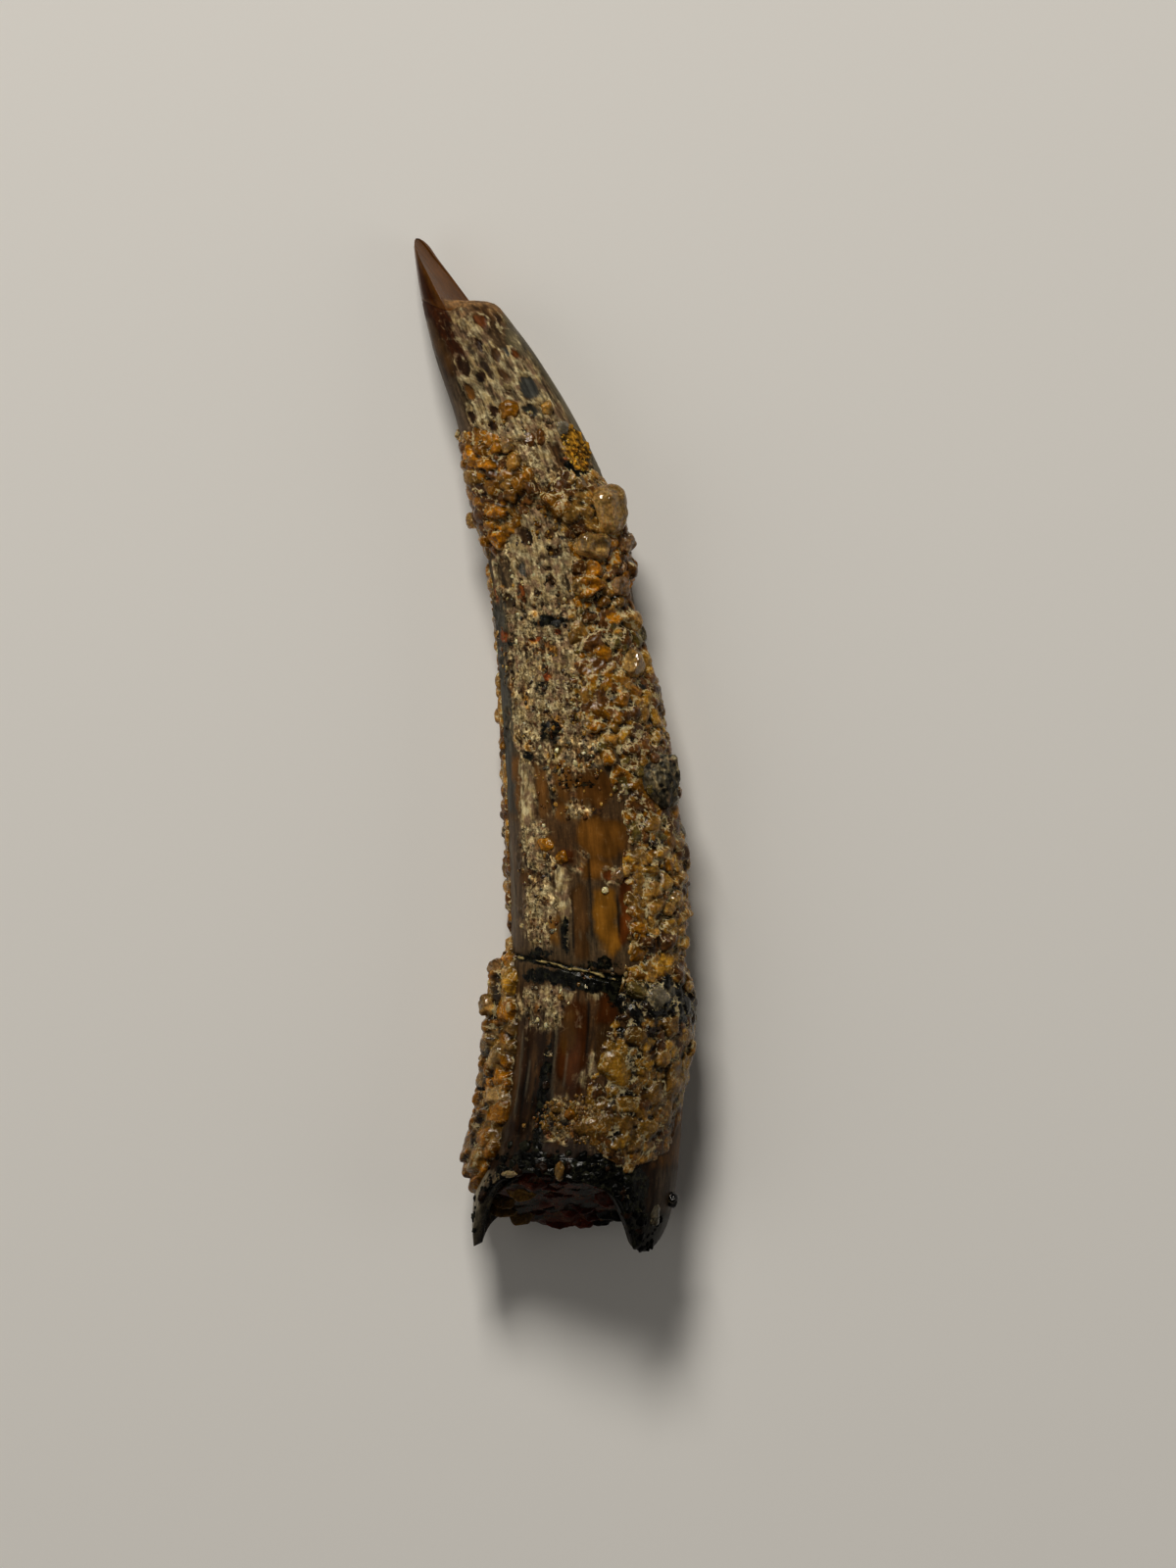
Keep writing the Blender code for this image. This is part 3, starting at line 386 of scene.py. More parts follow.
LOWER_LEFT_GRAINS = (
    (PALE_HONEY, -2.44, -10.76, 0.4, 0.44, 1.26, 0.0), (PINK, -2.16, -9.2, 0.34, 0.36, 0.9, 0.0),
    (GRAIN_AMBER, -2.62, -13.1, 0.3, 0.3, 1.1, 0.0), (GRAIN_AMBER, -2.1, -11.8, 0.36, 0.44, 1.1, 0.0),
    (ORANGE, -2.6, -14.6, 0.4, 0.4, 1.14, 0.0), (GRAIN_AMBER, -3.0, -16.3, 0.4, 0.44, 1.08, 0.0),
    (HONEY, -2.02, -10.0, 0.34, 0.36, 1.04, 0.0), (GRAIN_AMBER, -2.3, -9.6, 0.36, 0.36, 0.95, 0.0),
    (HONEY, -2.44, -10.24, 0.36, 0.36, 1.02, 0.0), (GRAIN_AMBER, -2.5, -11.5, 0.4, 0.4, 1.14, 0.0),
    (HONEY, -2.62, -12.3, 0.4, 0.44, 1.12, 0.0), (HONEY, -2.7, -13.8, 0.4, 0.4, 1.1, 0.0),
    (GRAIN_AMBER, -2.9, -15.5, 0.42, 0.42, 1.1, 0.0),
)
# Placed grains of these colours are clear.
CLEAR_COLOURS = (PALE_HONEY, PINK)

# The scattered grains of each crust: from, to, share of pale film, height, colours.
RIGHT_ZONES = (
    (-17.2, -14.8, 0.31, 0.45, (HONEY, GRAIN_BROWN, GRAIN_AMBER, HONEY, GRAIN_BROWN)),
    (-14.8, -11.4, 0.3, 0.5, (HONEY, GOLD, HONEY, GRAIN_BROWN, GOLD)),
    (-11.4, -9.75, 0.34, 0.8, (GRAIN_BLACK, GRAIN_BLACK, SMOKE, DARK_BROWN, GRAIN_BLACK)),
    (-9.75, -4.2, 0.34, 1.0, (GOLD, HONEY, GRAIN_AMBER, HONEY, OCHRE, GRAIN_BROWN)),
    (-4.2, -0.4, 0.42, 0.9, (GRAIN_BROWN, HONEY, GRAIN_AMBER, OLIVE, GRAIN_BROWN)),
    (-0.4, 3.6, 0.44, 1.0, (HONEY, GRAIN_AMBER, GRAIN_BROWN, GRAIN_AMBER, GRAIN_BROWN, GOLD)),
    (3.6, 5.4, 0.42, 1.0, (OLIVE, GRAIN_BROWN, HONEY, GRAIN_BROWN)),
    (5.4, 8.2, 0.3, 1.0, (GRAIN_AMBER, HONEY, GRAIN_BROWN, ORANGE)),
    (8.2, 11.0, 0.34, 1.0, (HONEY, GRAIN_BROWN, OCHRE)),
)
UPPER_LEFT_ZONES = ((7.0, 13.0, 0.24, 0.9, (GRAIN_AMBER, GRAIN_BROWN, HONEY, GRAIN_BROWN, ORANGE)),)
LEFT_EDGE_ZONES = ((-8.0, 7.6, 0.26, 1.0, (HONEY, GRAIN_BROWN, GRAIN_AMBER, HONEY)),)
LOWER_LEFT_ZONES = (
    (-18.2, -13.0, 0.2, 0.8, (ORANGE, ORANGE, HONEY, PALE_HONEY)),
    (-13.0, -8.0, 0.24, 0.9, (ORANGE, HONEY, GOLD, PALE_HONEY)),
)

# Grains scattered over a crust, largest first: their radii, and how many places are tried.
GRAIN_SIZES = ((0.34, 0.52, 420), (0.22, 0.34, 2200), (0.11, 0.2, 5200))
GRAIN_SPACING = 1.02
PLACED_GRAIN_ROOM = 1.75
GRAIN_FLATS = 3
GRAIN_RISE = (0.22, 0.75)
# How much lighter each grain is painted on its side away from the key light, as painted glow.
GRAIN_PAINTED_GLOW = 0.38
EDGE_GRAINS = 0.16
CRUST_CELL = 0.062
CRUST_MARGIN = 0.5
CRUST_SINK = 0.22
OUTSIDE_SINK = 0.12
GROUND_SHARE = 0.66
MERGE = 0.07
COARSE = 4

# Crusts: node, table, zones, placed grains, seed, slot, share of its thickness that is ground, grain size.
CRUSTS = (
    ("sand_crust_right", RIGHT_CRUST, RIGHT_ZONES, RIGHT_GRAINS, 11, "honey_sand", GROUND_SHARE, 1.0),
    (
        "sand_crust_upper_left", UPPER_LEFT_CRUST, UPPER_LEFT_ZONES, UPPER_LEFT_GRAINS, 12, "amber_sand",
        GROUND_SHARE, 1.0,
    ),
    ("sand_crust_left_edge", LEFT_EDGE_CRUST, LEFT_EDGE_ZONES, (), 13, "amber_sand", GROUND_SHARE, 1.0),
    (
        "sand_crust_lower_left", LOWER_LEFT_CRUST, LOWER_LEFT_ZONES, LOWER_LEFT_GRAINS, 14, "amber_sand",
        0.92, 1.25,
    ),
)

# Loose grit on the bare parts of the tooth: across, along, half width, half length, how many, colours.
MIXED_GRIT = (
    CREAM, GREY_BROWN, HONEY, GREY_BROWN, GRAIN_BROWN, BROWN, WHITE_CREAM, DARK_BROWN, SMOKE, CHOCOLATE,
)
HONEY_GRIT = (HONEY, GRAIN_BROWN, GRAIN_AMBER, HONEY, GRAIN_BROWN, OCHRE)
LIMONITE_GRIT = (LIMONITE, LIMONITE, OCHRE, (0.6, 0.3, 0.03))
GRIT_FIELDS = (
    (-0.2, 3.6, 2.1, 3.2, 420, MIXED_GRIT), (0.3, 0.6, 1.8, 1.9, 200, MIXED_GRIT),
    (-0.3, 7.2, 1.6, 1.5, 90, MIXED_GRIT), (-1.5, 13.0, 1.7, 0.7, 60, MIXED_GRIT),
    (0.8, -1.9, 1.7, 1.2, 60, HONEY_GRIT), (-0.7, -4.8, 0.8, 1.6, 70, MIXED_GRIT),
    (-0.6, -7.2, 0.8, 1.0, 40, MIXED_GRIT), (1.4, -15.3, 2.2, 1.0, 420, HONEY_GRIT),
    (-0.5, -10.8, 1.2, 0.9, 50, MIXED_GRIT), (2.4, -9.7, 1.4, 0.6, 16, MIXED_GRIT),
    (-0.6, 9.4, 0.8, 1.2, 80, HONEY_GRIT), (-2.2, -14.6, 0.3, 2.6, 50, HONEY_GRIT),
    (0.84, 12.0, 0.46, 0.9, 110, LIMONITE_GRIT),
)
GRIT_RADII = (0.04, 0.11)
# Single bits on the tooth: colour, across, along, half width, half length, height.
BITS = (
    (GRAIN_AMBER, -1.86, 13.56, 0.46, 0.42, 0.2), (OCHRE, -0.26, 13.6, 0.3, 0.4, 0.18),
    (GRAIN_BROWN, -1.0, 12.3, 0.34, 0.36, 0.14), (GRAIN_BROWN, -0.5, 12.35, 0.26, 0.38, 0.14),
    (SMOKE, 0.36, 12.8, 0.34, 0.36, 0.2), (CREAM, -3.88, 12.6, 0.16, 0.22, 0.2),
    (CREAM, -0.2, -12.72, 0.22, 0.1, 0.04), (OCHRE, 0.28, -17.4, 0.2, 0.4, 0.2),
    (CREAM, -1.75, -17.55, 0.4, 0.14, 0.14), (SMOKE, 4.18, -19.1, 0.3, 0.52, 0.12),
    (GRAIN_BLACK, 4.78, -18.64, 0.28, 0.3, 0.3), (OCHRE, -1.2, -15.6, 0.1, 0.11, 0.07),
    (OCHRE, 0.26, -15.6, 0.12, 0.14, 0.16), (HONEY, 1.1, -15.7, 0.28, 0.3, 0.24),
    (ORANGE, 0.7, -15.1, 0.26, 0.24, 0.2), (OCHRE, 0.1, -14.9, 0.24, 0.16, 0.2),
    (PINK, 2.62, -5.42, 0.32, 0.34, 0.18), (WHITE_CREAM, 2.1, -6.02, 0.14, 0.14, 0.12),
    (GRAIN_AMBER, -0.3, -4.16, 0.36, 0.3, 0.16), (GRAIN_AMBER, 0.36, -4.7, 0.34, 0.3, 0.14),
    (DARK_BROWN, -0.3, -13.95, 0.18, 0.2, 0.08), (GRAIN_BROWN, 3.72, -0.66, 0.27, 0.25, 0.8),
    (SMOKE, 4.46, -2.3, 0.42, 0.33, 0.66), (OLIVE, 3.7, -1.9, 0.22, 0.22, 0.62),
)

# Lumps of cement around the broken rim, black partly for stain and partly as painted shade.
RIM_LUMPS = 150
RIM_LUMP_ANGLES = (24, 172)
RIM_LUMP_REACH = 1.3
RIM_LUMP_RADII = (0.06, 0.24)
RIM_LUMP_COLOURS = (STAIN_BLACK, STAIN_BLACK, STAIN_OLIVE, STAIN_BLACK, STAIN_BLACK, STAIN_BLACK, CHOCOLATE)

# Dark red grains over the filling's rough end.
PULP_GRAINS = 26
PULP_TRIES = 900
PULP_RADII = (0.6, 1.15)
PULP_SPACING = 0.78
PULP_FACING = np.array((0.0, -0.6, 0.8))
PULP_COLOURS = (DARK_RED, DEEP_RED, DEEP_RED, DARK_RED, GRAIN_BLACK)
PULP_PALE_SIDE = -1.1

# Numbers that turn the place of a cell's middle into its chance number.
CELL_HASH = (12.9898, 78.233, 37.719)
CELL_HASH_SIZE = 43758.5453

# Sand materials: name, transmission, roughness, subsurface share, fine relief's strength, specular level.
SANDS = (
    ("sand_grain", 0.0, 0.14, 0.45, 0.45, 0.36),
    ("clear_grain", 0.2, 0.08, 0.6, 0.1, 0.5),
    ("black_cement", 0.0, 0.3, 0.0, 0.45, 0.08),
    ("red_grain", 0.0, 0.2, 0.4, 0.45, 0.14),
)
SUBSURFACE_SCALE = 0.28
BUMP_DISTANCE = 0.035

CAMERA_PLACE = (1.42, -1.7)
CAMERA_HEIGHT = 453.0
CAMERA_LENS = 253.0
FLOOR_SIZE = 3000.0
FLOOR_GAP = 0.01
FLOOR_COLOUR = (0.86, 0.85, 0.83, 1.0)
LIGHT_COLOUR = (1.0, 0.955, 0.88)
# Lights: name, place, width, power in watts.
LIGHTS = (
    ("key", (-70.0, 330.0, 290.0), 130.0, 1.25),
    ("fill", (-380.0, -60.0, 300.0), 420.0, 0.28),
    ("rim", (330.0, -40.0, 160.0), 220.0, 0.08),
)
WORLD_COLOUR = (1.0, 0.96, 0.9, 1.0)
WORLD_STRENGTH = 0.055


def lerp(start, end, share):
    """A value between two others."""
    return start + (end - start) * share


def smooth_step(value, low=0.0, high=1.0):
    """0 below low, 1 above high, and a smooth rise between."""
    t = np.clip((value - low) / (high - low), 0.0, 1.0)
    return t * t * (3.0 - 2.0 * t)


def read_table(table, place, column=1):
    """Smooth values between the rows of a table sorted by its first column."""
    start = np.array([row[0] for row in table], dtype=float)
    value = np.array([row[column] for row in table], dtype=float)
    slope = np.empty_like(value)
    slope[1:-1] = (value[2:] - value[:-2]) / (start[2:] - start[:-2])
    slope[0] = (value[1] - value[0]) / (start[1] - start[0])
    slope[-1] = (value[-1] - value[-2]) / (start[-1] - start[-2])
    place = np.clip(place, start[0], start[-1])
    row = np.clip(np.searchsorted(start, place, side="right") - 1, 0, len(start) - 2)
    span = start[row + 1] - start[row]
    t = (place - start[row]) / span
    return (
        value[row] * (2 * t**3 - 3 * t**2 + 1)
        + slope[row] * span * (t**3 - 2 * t**2 + t)
        + value[row + 1] * (3 * t**2 - 2 * t**3)
        + slope[row + 1] * span * (t**3 - t**2)
    )


def noise_at(points, scale=1.0, shift=0.0):
    """Blender's noise at each of an array of points, from about -1 to 1."""
    flat = (points.reshape(-1, 3) * scale + shift).tolist()
    return np.array([noise.noise(place) for place in flat]).reshape(points.shape[:-1])


def noises(points, *layers):
    """Noise in layers, each a scale, a shift and an amount."""
    return sum(noise_at(points, scale, shift) * amount for scale, shift, amount in layers)


def cells_at(points, cell):
    """For each point: distance to its cell's middle, distance from the cell's edge, the cell's number."""
    flat = (points.reshape(-1, 3) / cell).tolist()
    near, middles = np.empty((len(flat), 2)), np.empty((len(flat), 3))
    for index, place in enumerate(flat):
        distances, corners = noise.voronoi(place)
        near[index] = distances[:2]
        middles[index] = corners[0]
    chance = np.sin(middles @ CELL_HASH) * CELL_HASH_SIZE % 1.0
    shape = points.shape[:-1]
    return near[:, 0].reshape(shape), (near[:, 1] - near[:, 0]).reshape(shape), chance.reshape(shape)


def section(along):
    """Centre across, centre height, half width and half depth of the unbroken tooth."""
    left, right = read_table(OUTLINE, along, 1), read_table(OUTLINE, along, 2)
    half_width = (right - left) / 2
    half_depth = half_width * DEPTH_PER_WIDTH
    height = half_depth + read_table(UNDERSIDE_RISE, along) - WORN_FLAT_DEPTH
    return (left + right) / 2, height, half_width, half_depth


def straightened(points):
    """The points as they would lie on a straight tooth, for patterns that follow its curve."""
    moved = points.copy()
    moved[..., 0] -= section(points[..., 1])[0]
    return moved


def weathering(along, angle):
    """Gentle unevenness of the tooth's surface, which fades out towards the glossy tip."""
    fade = np.clip((LEDGE_ALONG - along) / 2.0, 0.0, 1.0)
    place = np.stack((np.cos(angle) * 3.0, along * 0.35, np.sin(angle) * 3.0), axis=-1)
    return WEATHERING * fade * noise_at(place, WEATHERING_SCALE)


def furrow(along, angle):
    """Depth of the grooves along the shaft."""
    total = np.zeros_like(along)
    for middle_angle, start, end, depth in FURROWS:
        across = np.clip(1.0 - np.abs(np.degrees(angle) - middle_angle) / FURROW_HALF_ANGLE, 0.0, 1.0)
        total += depth * across * np.clip(np.minimum(along - start, end - along), 0.0, 1.0)
    return total


def outward_at(along, angle):
    """The direction out of the tooth at each place."""
    _, _, half_width, half_depth = section(along)
    across, up = np.cos(angle) / half_width, np.sin(angle) / half_depth
    size = np.hypot(across, up)
    return np.stack((across / size, np.zeros_like(size), up / size), axis=-1)


def skin(along, angle, lift=0.0):
    """Points of the tooth's outer surface, or lift above it; the underside is worn flat."""
    along, angle = np.broadcast_arrays(np.asarray(along, dtype=float), np.asarray(angle, dtype=float))
    centre, height, half_width, half_depth = section(along)
    push = lift + weathering(along, angle) - furrow(along, angle)
    across, up = half_width * np.cos(angle), half_depth * np.sin(angle)
    points = np.stack((centre + across, along, height + up), axis=-1)
    points = points + outward_at(along, angle) * np.asarray(push)[..., None]
    points[..., 2] = np.maximum(points[..., 2], 0.0)
    return points


def top_angle(across, along):
    """The angle of the place on the tooth's upper side that is seen at a distance across it."""
    centre, _, half_width, _ = section(np.asarray(along, dtype=float))
    return np.arccos(np.clip((across - centre) / half_width, -1.0, 1.0))


def spalled(along, angle):
    """Points where the spall has cut the tooth, and how far the plane cut in at each."""
    centre, height, half_width, half_depth = section(along)
    facing = (math.cos(SPALL_ANGLE), math.sin(SPALL_ANGLE))
    across, up = half_width * np.cos(angle), half_depth * np.sin(angle)
    beyond = across * facing[0] + up * facing[1] - read_table(SPALL_DISTANCE, along)
    share = (up * facing[0] - across * facing[1]) / half_width
    hollow = SPALL_HOLLOW * np.maximum(0.0, 1.0 - share**2) * np.minimum(1.0, beyond / half_width)
    cut = np.where(beyond > 0.0, beyond + hollow, 0.0)
    points = np.stack((centre + across - facing[0] * cut, along, height + up - facing[1] * cut), axis=-1)
    return points, beyond


def cavity(along, angle, clearance=0.0):
    """Points of the pulp cavity's wall, or inside it by a clearance."""
    centre, height, half_width, half_depth = section(along)
    inset = read_table(WALL, along) + clearance
    across, up = (half_width - inset) * np.cos(angle), (half_depth - inset) * np.sin(angle)
    return np.stack((centre + across, along, height + up), axis=-1)


def rim_along(angle):
    """Place of the broken root edge at each angle."""
    return read_table(ROOT_RIM, np.degrees(angle) % 360)


def crack_along(along, angle):
    """A ring's place, sloped across the tooth as the crack is where it is near the crack."""
    near = np.clip(1.0 - np.abs(along - CRACK_ALONG) / CRACK_REACH, 0.0, 1.0) ** 2
    centre, _, half_width, _ = section(along)
    return along + CRACK_SLOPE * (centre + half_width * np.cos(angle)) * near


def ledge_along(angle):
    """Place of the broken ledge at each angle."""
    turn = angle % (2 * math.pi)
    dip = np.exp(-(((turn - LEDGE_DIP_ANGLE) / LEDGE_DIP_SPREAD) ** 2))
    place = np.stack((turn * 3.0, np.full_like(turn, 7.0), np.zeros_like(turn)), axis=-1)
    return LEDGE_ALONG - LEDGE_DIP * dip + LEDGE_UNEVEN * noise_at(place)


def spot_value(across, along, spot, square=0.0):
    """1 in the middle of a spot that follows the tooth's curve, 0 at its edge, below 0 outside it."""
    middle_across, middle_along, half_width, half_length = spot
    middle = section(np.array(middle_along, dtype=float))[0]
    aside = (across - section(along)[0] - middle_across + middle) / half_width
    ahead = (along - middle_along) / half_length
    square_value = np.maximum(np.abs(aside), np.abs(ahead))
    return 1.0 - (np.hypot(aside, ahead) * (1.0 - square) + square_value * square)


def coverage(across, along, spots):
    """The share covered by the strongest of a table's spots at each place."""
    best = np.zeros_like(across)
    for *spot, share in spots:
        best = np.maximum(best, share * smooth_step(spot_value(across, along, spot), -0.25, 0.45))
    return best


def line_value(across, along, line):
    """1 on a line along the tooth, 0 at its edges and past its ends."""
    middle_across, start, end, half_width = line
    middle = section(np.array((start + end) / 2))[0]
    aside = np.abs(across - section(along)[0] - middle_across + middle) / half_width
    return np.clip(1.4 - aside, 0.0, 1.0) * smooth_step(np.minimum(along - start, end - along), 0.0, 0.3)


def blend(tone, mask, colour):
    """Paint a colour over an array of tones where a mask is 1."""
    return tone + (np.asarray(colour) - tone) * mask[..., None]


def tinted(colour, brightness):
    """A colour at each of an array of brightnesses."""
    return np.asarray(colour) * brightness[..., None]


def enamel_tone(along):
    """The enamel's own colour along the tooth."""
    places = [row[0] for row in ENAMEL_ALONG]
    channels = zip(*(row[1] for row in ENAMEL_ALONG))
    return np.stack([np.interp(along, places, channel) for channel in channels], axis=-1)


def cell_tone(chance, palette):
    """A palette's colour for each cell's chance number, by the colours' shares."""
    tone = np.empty(chance.shape + (3,))
    tone[...] = palette[-1][0]
    total = sum(share for _, share in palette)
    reached = total
    for colour, share in reversed(palette):
        tone[chance * total < reached] = colour
        reached -= share
    return tone


class Paint:
    """What is painted on the tooth at each of its points: colours, cover and relief."""

    FIELDS = ("tone", "cement", "stain", "polish", "grit_mask", "relief")

    def __init__(self, points, across, along, share, crack_distance):
        """Paint by the places seen from above; share runs from -1 at the left edge to 1 at the right."""
        self.points = points
        self.straight = straightened(points)
        wobble = noises(points, (2.1, 3.0, 0.13), (6.5, 9.0, 0.05))
        self.across = across + wobble
        self.along = along + np.roll(wobble, 7, axis=-1) * 1.3
        self.tone = enamel_tone(along)
        self.relief = np.zeros_like(across)
        self.polish = np.full_like(across, 0.35)
        self.cement = coverage(self.across, self.along, CEMENT_SPOTS)
        self.stain = coverage(self.across, self.along, STAIN_SPOTS)
        self.paint_streaks()
        self.paint_grit()
        self.paint_pits()
        self.paint_edges(LEFT_EDGES, -share)
        self.paint_edges(RIGHT_EDGES, share)
        self.paint_windows()
        self.paint_lines(across)
        self.paint_hollows()
        self.paint_limonite()
        self.paint_crack(crack_distance)
        self.raise_cement()
        self.raise_stain_and_shade()

    def lay(self, mask, tone, polish, cement=0.0, stain=0.0, grit=0.0):
        """Lay a finish over a mask, and take away shares of the cement, the stain and the grit there."""
        self.tone = blend(self.tone, mask, tone)
        self.polish += (polish - self.polish) * mask
        self.cement *= 1.0 - cement * mask
        self.stain *= 1.0 - stain * mask
        self.grit_mask *= 1.0 - grit * mask

    def paint_streaks(self):
        """Long streaks of lighter and darker enamel."""
        streak = noises(self.straight * (2.6, 0.28, 2.6), (1.0, 0.0, 0.6), (3.1, 5.0, 0.4))
        self.tone *= (1.0 + 0.75 * streak)[..., None]
        self.relief += STREAK_RELIEF * noise_at(self.straight * (5.0, 0.3, 5.0), 1.0, 2.0)

    def paint_grit(self):
        """A fine network of pale cement around tiny grains and the pits that others left."""
        distance, edge, chance = cells_at(self.straight, np.array((GRIT_CELL, GRIT_CELL * 1.3, GRIT_CELL)))
        patchy = coverage(self.across, self.along, GRIT_SPOTS) - 0.35 + 0.3 * noise_at(self.points, 1.3, 17.0)
        mask = smooth_step(patchy, -0.05, 0.12)
        self.tone = blend(self.tone, mask * 0.85, cell_tone(chance, GRIT_PALETTE))
        thread = 1.0 - smooth_step(edge, 0.04, 0.22)
        strength = 0.62 * smooth_step(noise_at(self.points, 1.9, 57.0), -0.45, 0.25)
        self.tone = blend(self.tone, mask * thread * strength, WHITE_CREAM)
        patch = noises(self.straight, (1.15, 67.0, 1.0), (2.6, 69.0, 0.5))
        self.tone *= (1.0 + mask * np.clip(1.3 * patch, -0.65, 0.8))[..., None]
        self.tone = blend(self.tone, mask * smooth_step(patch, 0.15, 0.4) * 0.5, GRAIN_BROWN)
        self.cement += mask * np.clip(-0.5 * patch, -0.25, 0.25)
        bump = np.maximum(0.0, 1.0 - (distance / 0.62) ** 2)
        rise = np.where(chance * 7.31 % 1.0 < 0.5, -0.7, 0.9)
        self.relief += GRIT_RELIEF * mask * (bump * rise + thread * 0.3)
        self.polish -= 0.1 * mask
        self.grit_mask = mask

    def paint_pits(self):
        """Hollows left by grains, with ridges of pale cement between them."""
        _, edge, chance = cells_at(self.straight, np.array(PIT_CELL))
        amount = coverage(self.across, self.along, PIT_SPOTS)
        mask = smooth_step(amount - 0.38 + 0.25 * noise_at(self.points, 1.1, 47.0), -0.05, 0.15)
        wavy = edge + 0.16 * noise_at(self.straight * (1.3, 0.6, 1.3), 4.5, 49.0)
        hollow = smooth_step(wavy, 0.08, 0.34) * (chance * 5.17 % 1.0 > 0.45)
        self.tone = blend(self.tone, mask * hollow, cell_tone(chance, PIT_PALETTE))
        self.relief -= PIT_DEPTH * mask * hollow * (0.5 + 0.5 * chance)
        self.cement = np.maximum(self.cement, mask * (1.0 - hollow) * 0.6) * (1.0 - 0.75 * mask * hollow)
        self.grit_mask *= 1.0 - 0.6 * mask

    def paint_edges(self, edges, share):
        """Smooth worn enamel down one edge of the tooth."""
        fine = noise_at(self.straight * (3.5, 0.35, 3.5), 1.6, 31.0)
        for start, end, begin, colour in edges:
            ends = smooth_step(np.minimum(self.along - start, end - self.along), -0.1, 0.35)
            mask = smooth_step(share + 0.07 * fine, begin - 0.05, begin + 0.05) * ends
            self.lay(mask, tinted(colour, 1.0 + 0.55 * fine), 0.55, cement=0.85, stain=0.6, grit=0.85)

    def paint_windows(self):
        """Smooth spots of bare enamel with their own colours."""
        cloud = noise_at(self.points * (1.5, 0.8, 1.5), 1.0, 41.0)
        ragged = noise_at(self.points * (3.4, 1.9, 3.4), 1.0, 45.0)
        for colour, *spot, square in WINDOWS:
            value = spot_value(self.across, self.along, spot, square)
            mask = smooth_step(value + 0.3 * cloud + 0.22 * ragged, -0.1, 0.3)
            # Painted glow: each window is painted lighter towards its middle and darker towards its edge.
            middle = 0.7 + 0.65 * np.clip(value, 0.0, 1.0)
            shade = tinted(colour, (1.0 + 0.9 * cloud + 0.35 * ragged) * middle)
            self.lay(mask, shade, 0.85, cement=0.7, grit=1.0)
            self.relief *= 1.0 - 0.85 * mask

    def paint_lines(self, across):
        """Dark seams and thin pale lines along the tooth."""
        across = across + 0.03 * noise_at(self.points, 2.0, 1.0)
        for line in SEAMS:
            mask = line_value(across, self.along, line)
            self.tone = blend(self.tone, mask * 0.85, STAIN_BLACK)
            self.relief -= SEAM_DEPTH * mask
        for line in PALE_LINES:
            self.tone = blend(self.tone, line_value(across, self.along, line) * 0.55, SMOKE)

    def paint_hollows(self):
        """Hollows that grains have left in the cement, each with a raised pale ring."""
        streak = noise_at(self.straight * (4.0, 0.9, 4.0), 1.0, 75.0)
        for colour, *spot in HOLLOWS:
            value = spot_value(self.across, self.along, spot)
            inside = smooth_step(value, -0.05, 0.22)
            ring = np.exp(-(((value + 0.28) / 0.22) ** 2))
            self.lay(inside, tinted(colour, 1.0 + 0.9 * streak), 0.6)
            depth = HOLLOW_DEPTH * np.clip(value + 0.3, 0.0, 1.0)
            self.relief += RING_RELIEF * ring - inside * (depth + self.relief)
            self.cement = np.maximum(self.cement, ring * 0.95) * (1.0 - inside)
        for spot in RUST_SPECKS:
            mask = smooth_step(spot_value(self.across, self.along, spot), 0.0, 0.2)
            self.tone = blend(self.tone, mask, RUST)
            self.cement *= 1.0 - mask

    def paint_limonite(self):
        """The porous yellow crust."""
        distance, _, chance = cells_at(self.points, LIMONITE_CELL)
        ragged = noise_at(self.points, 2.9, 73.0)
        knob = np.maximum(0.0, 1.0 - (distance / 0.6) ** 2)
        height = 0.2 + knob * (0.5 + 0.5 * chance)
        # Painted shade: the limonite is painted dark down between its knobs.
        shade = tinted(LIMONITE, 0.1 + 1.25 * knob * (0.6 + 0.6 * chance))
        for spot in LIMONITE_SPOTS:
            mask = smooth_step(spot_value(self.across, self.along, spot) + 0.4 * ragged, 0.0, 0.12)
            self.lay(mask, shade, 0.25, cement=1.0, stain=1.0)
            self.relief = np.maximum(self.relief, mask * LIMONITE_HEIGHT * height)

    def paint_crack(self, distance):
        """The crack around the shaft, with a pale thread in it on the upper side."""
        ragged = distance + 0.07 * noise_at(self.points, 2.2, 5.0) + 0.03 * noise_at(self.points, 7.0, 5.0)
        groove = np.exp(-((ragged / CRACK_HALF_WIDTH) ** 2))
        self.relief -= CRACK_DEPTH * groove
        self.stain = np.maximum(self.stain, groove * 1.2)
        start, end = CRACK_THREAD_SPAN
        inside = smooth_step(np.minimum(self.across - start, end - self.across), 0.0, 0.3)
        broken = smooth_step(noise_at(self.points, 1.9, 23.0), -0.35, -0.1)
        strand = np.abs(ragged + 0.05 * noise_at(self.points, 1.6, 29.0)) / CRACK_THREAD_HALF_WIDTH
        strand = strand * (1.0 + 0.8 * noise_at(self.points, 3.3, 43.0))
        self.thread = smooth_step(1.5 - strand, 0.0, 0.7) * inside * broken
        self.relief += CRACK_DEPTH * 1.3 * self.thread

    def raise_cement(self):
        """The cement film stands a little proud, in ragged patches, and in streaks near the tip."""
        ragged = noises(self.points * (1.0, 0.62, 1.0), (2.3, 51.0, 0.55), (5.2, 61.0, 0.45))
        streaky = noises(self.straight * (1.5, 0.28, 1.5), (2.3, 53.0, 0.6), (5.2, 63.0, 0.4))
        ragged = lerp(ragged, streaky, smooth_step(self.along, *STREAKY_SPAN))
        filmed = smooth_step(self.cement, 0.0, 0.25)
        self.cement = self.cement - 0.5 + 0.75 * ragged * filmed - 0.25 * (1.0 - filmed)
        film = smooth_step(self.cement, -0.08, 0.1)
        grain = noise_at(self.points, 7.0, 71.0) * (0.3 + 0.7 * self.grit_mask)
        self.relief += CEMENT_RELIEF * film * (0.7 + 0.5 * grain)
        self.tone = blend(self.tone, self.thread, THREAD_YELLOW)
        self.cement -= self.thread

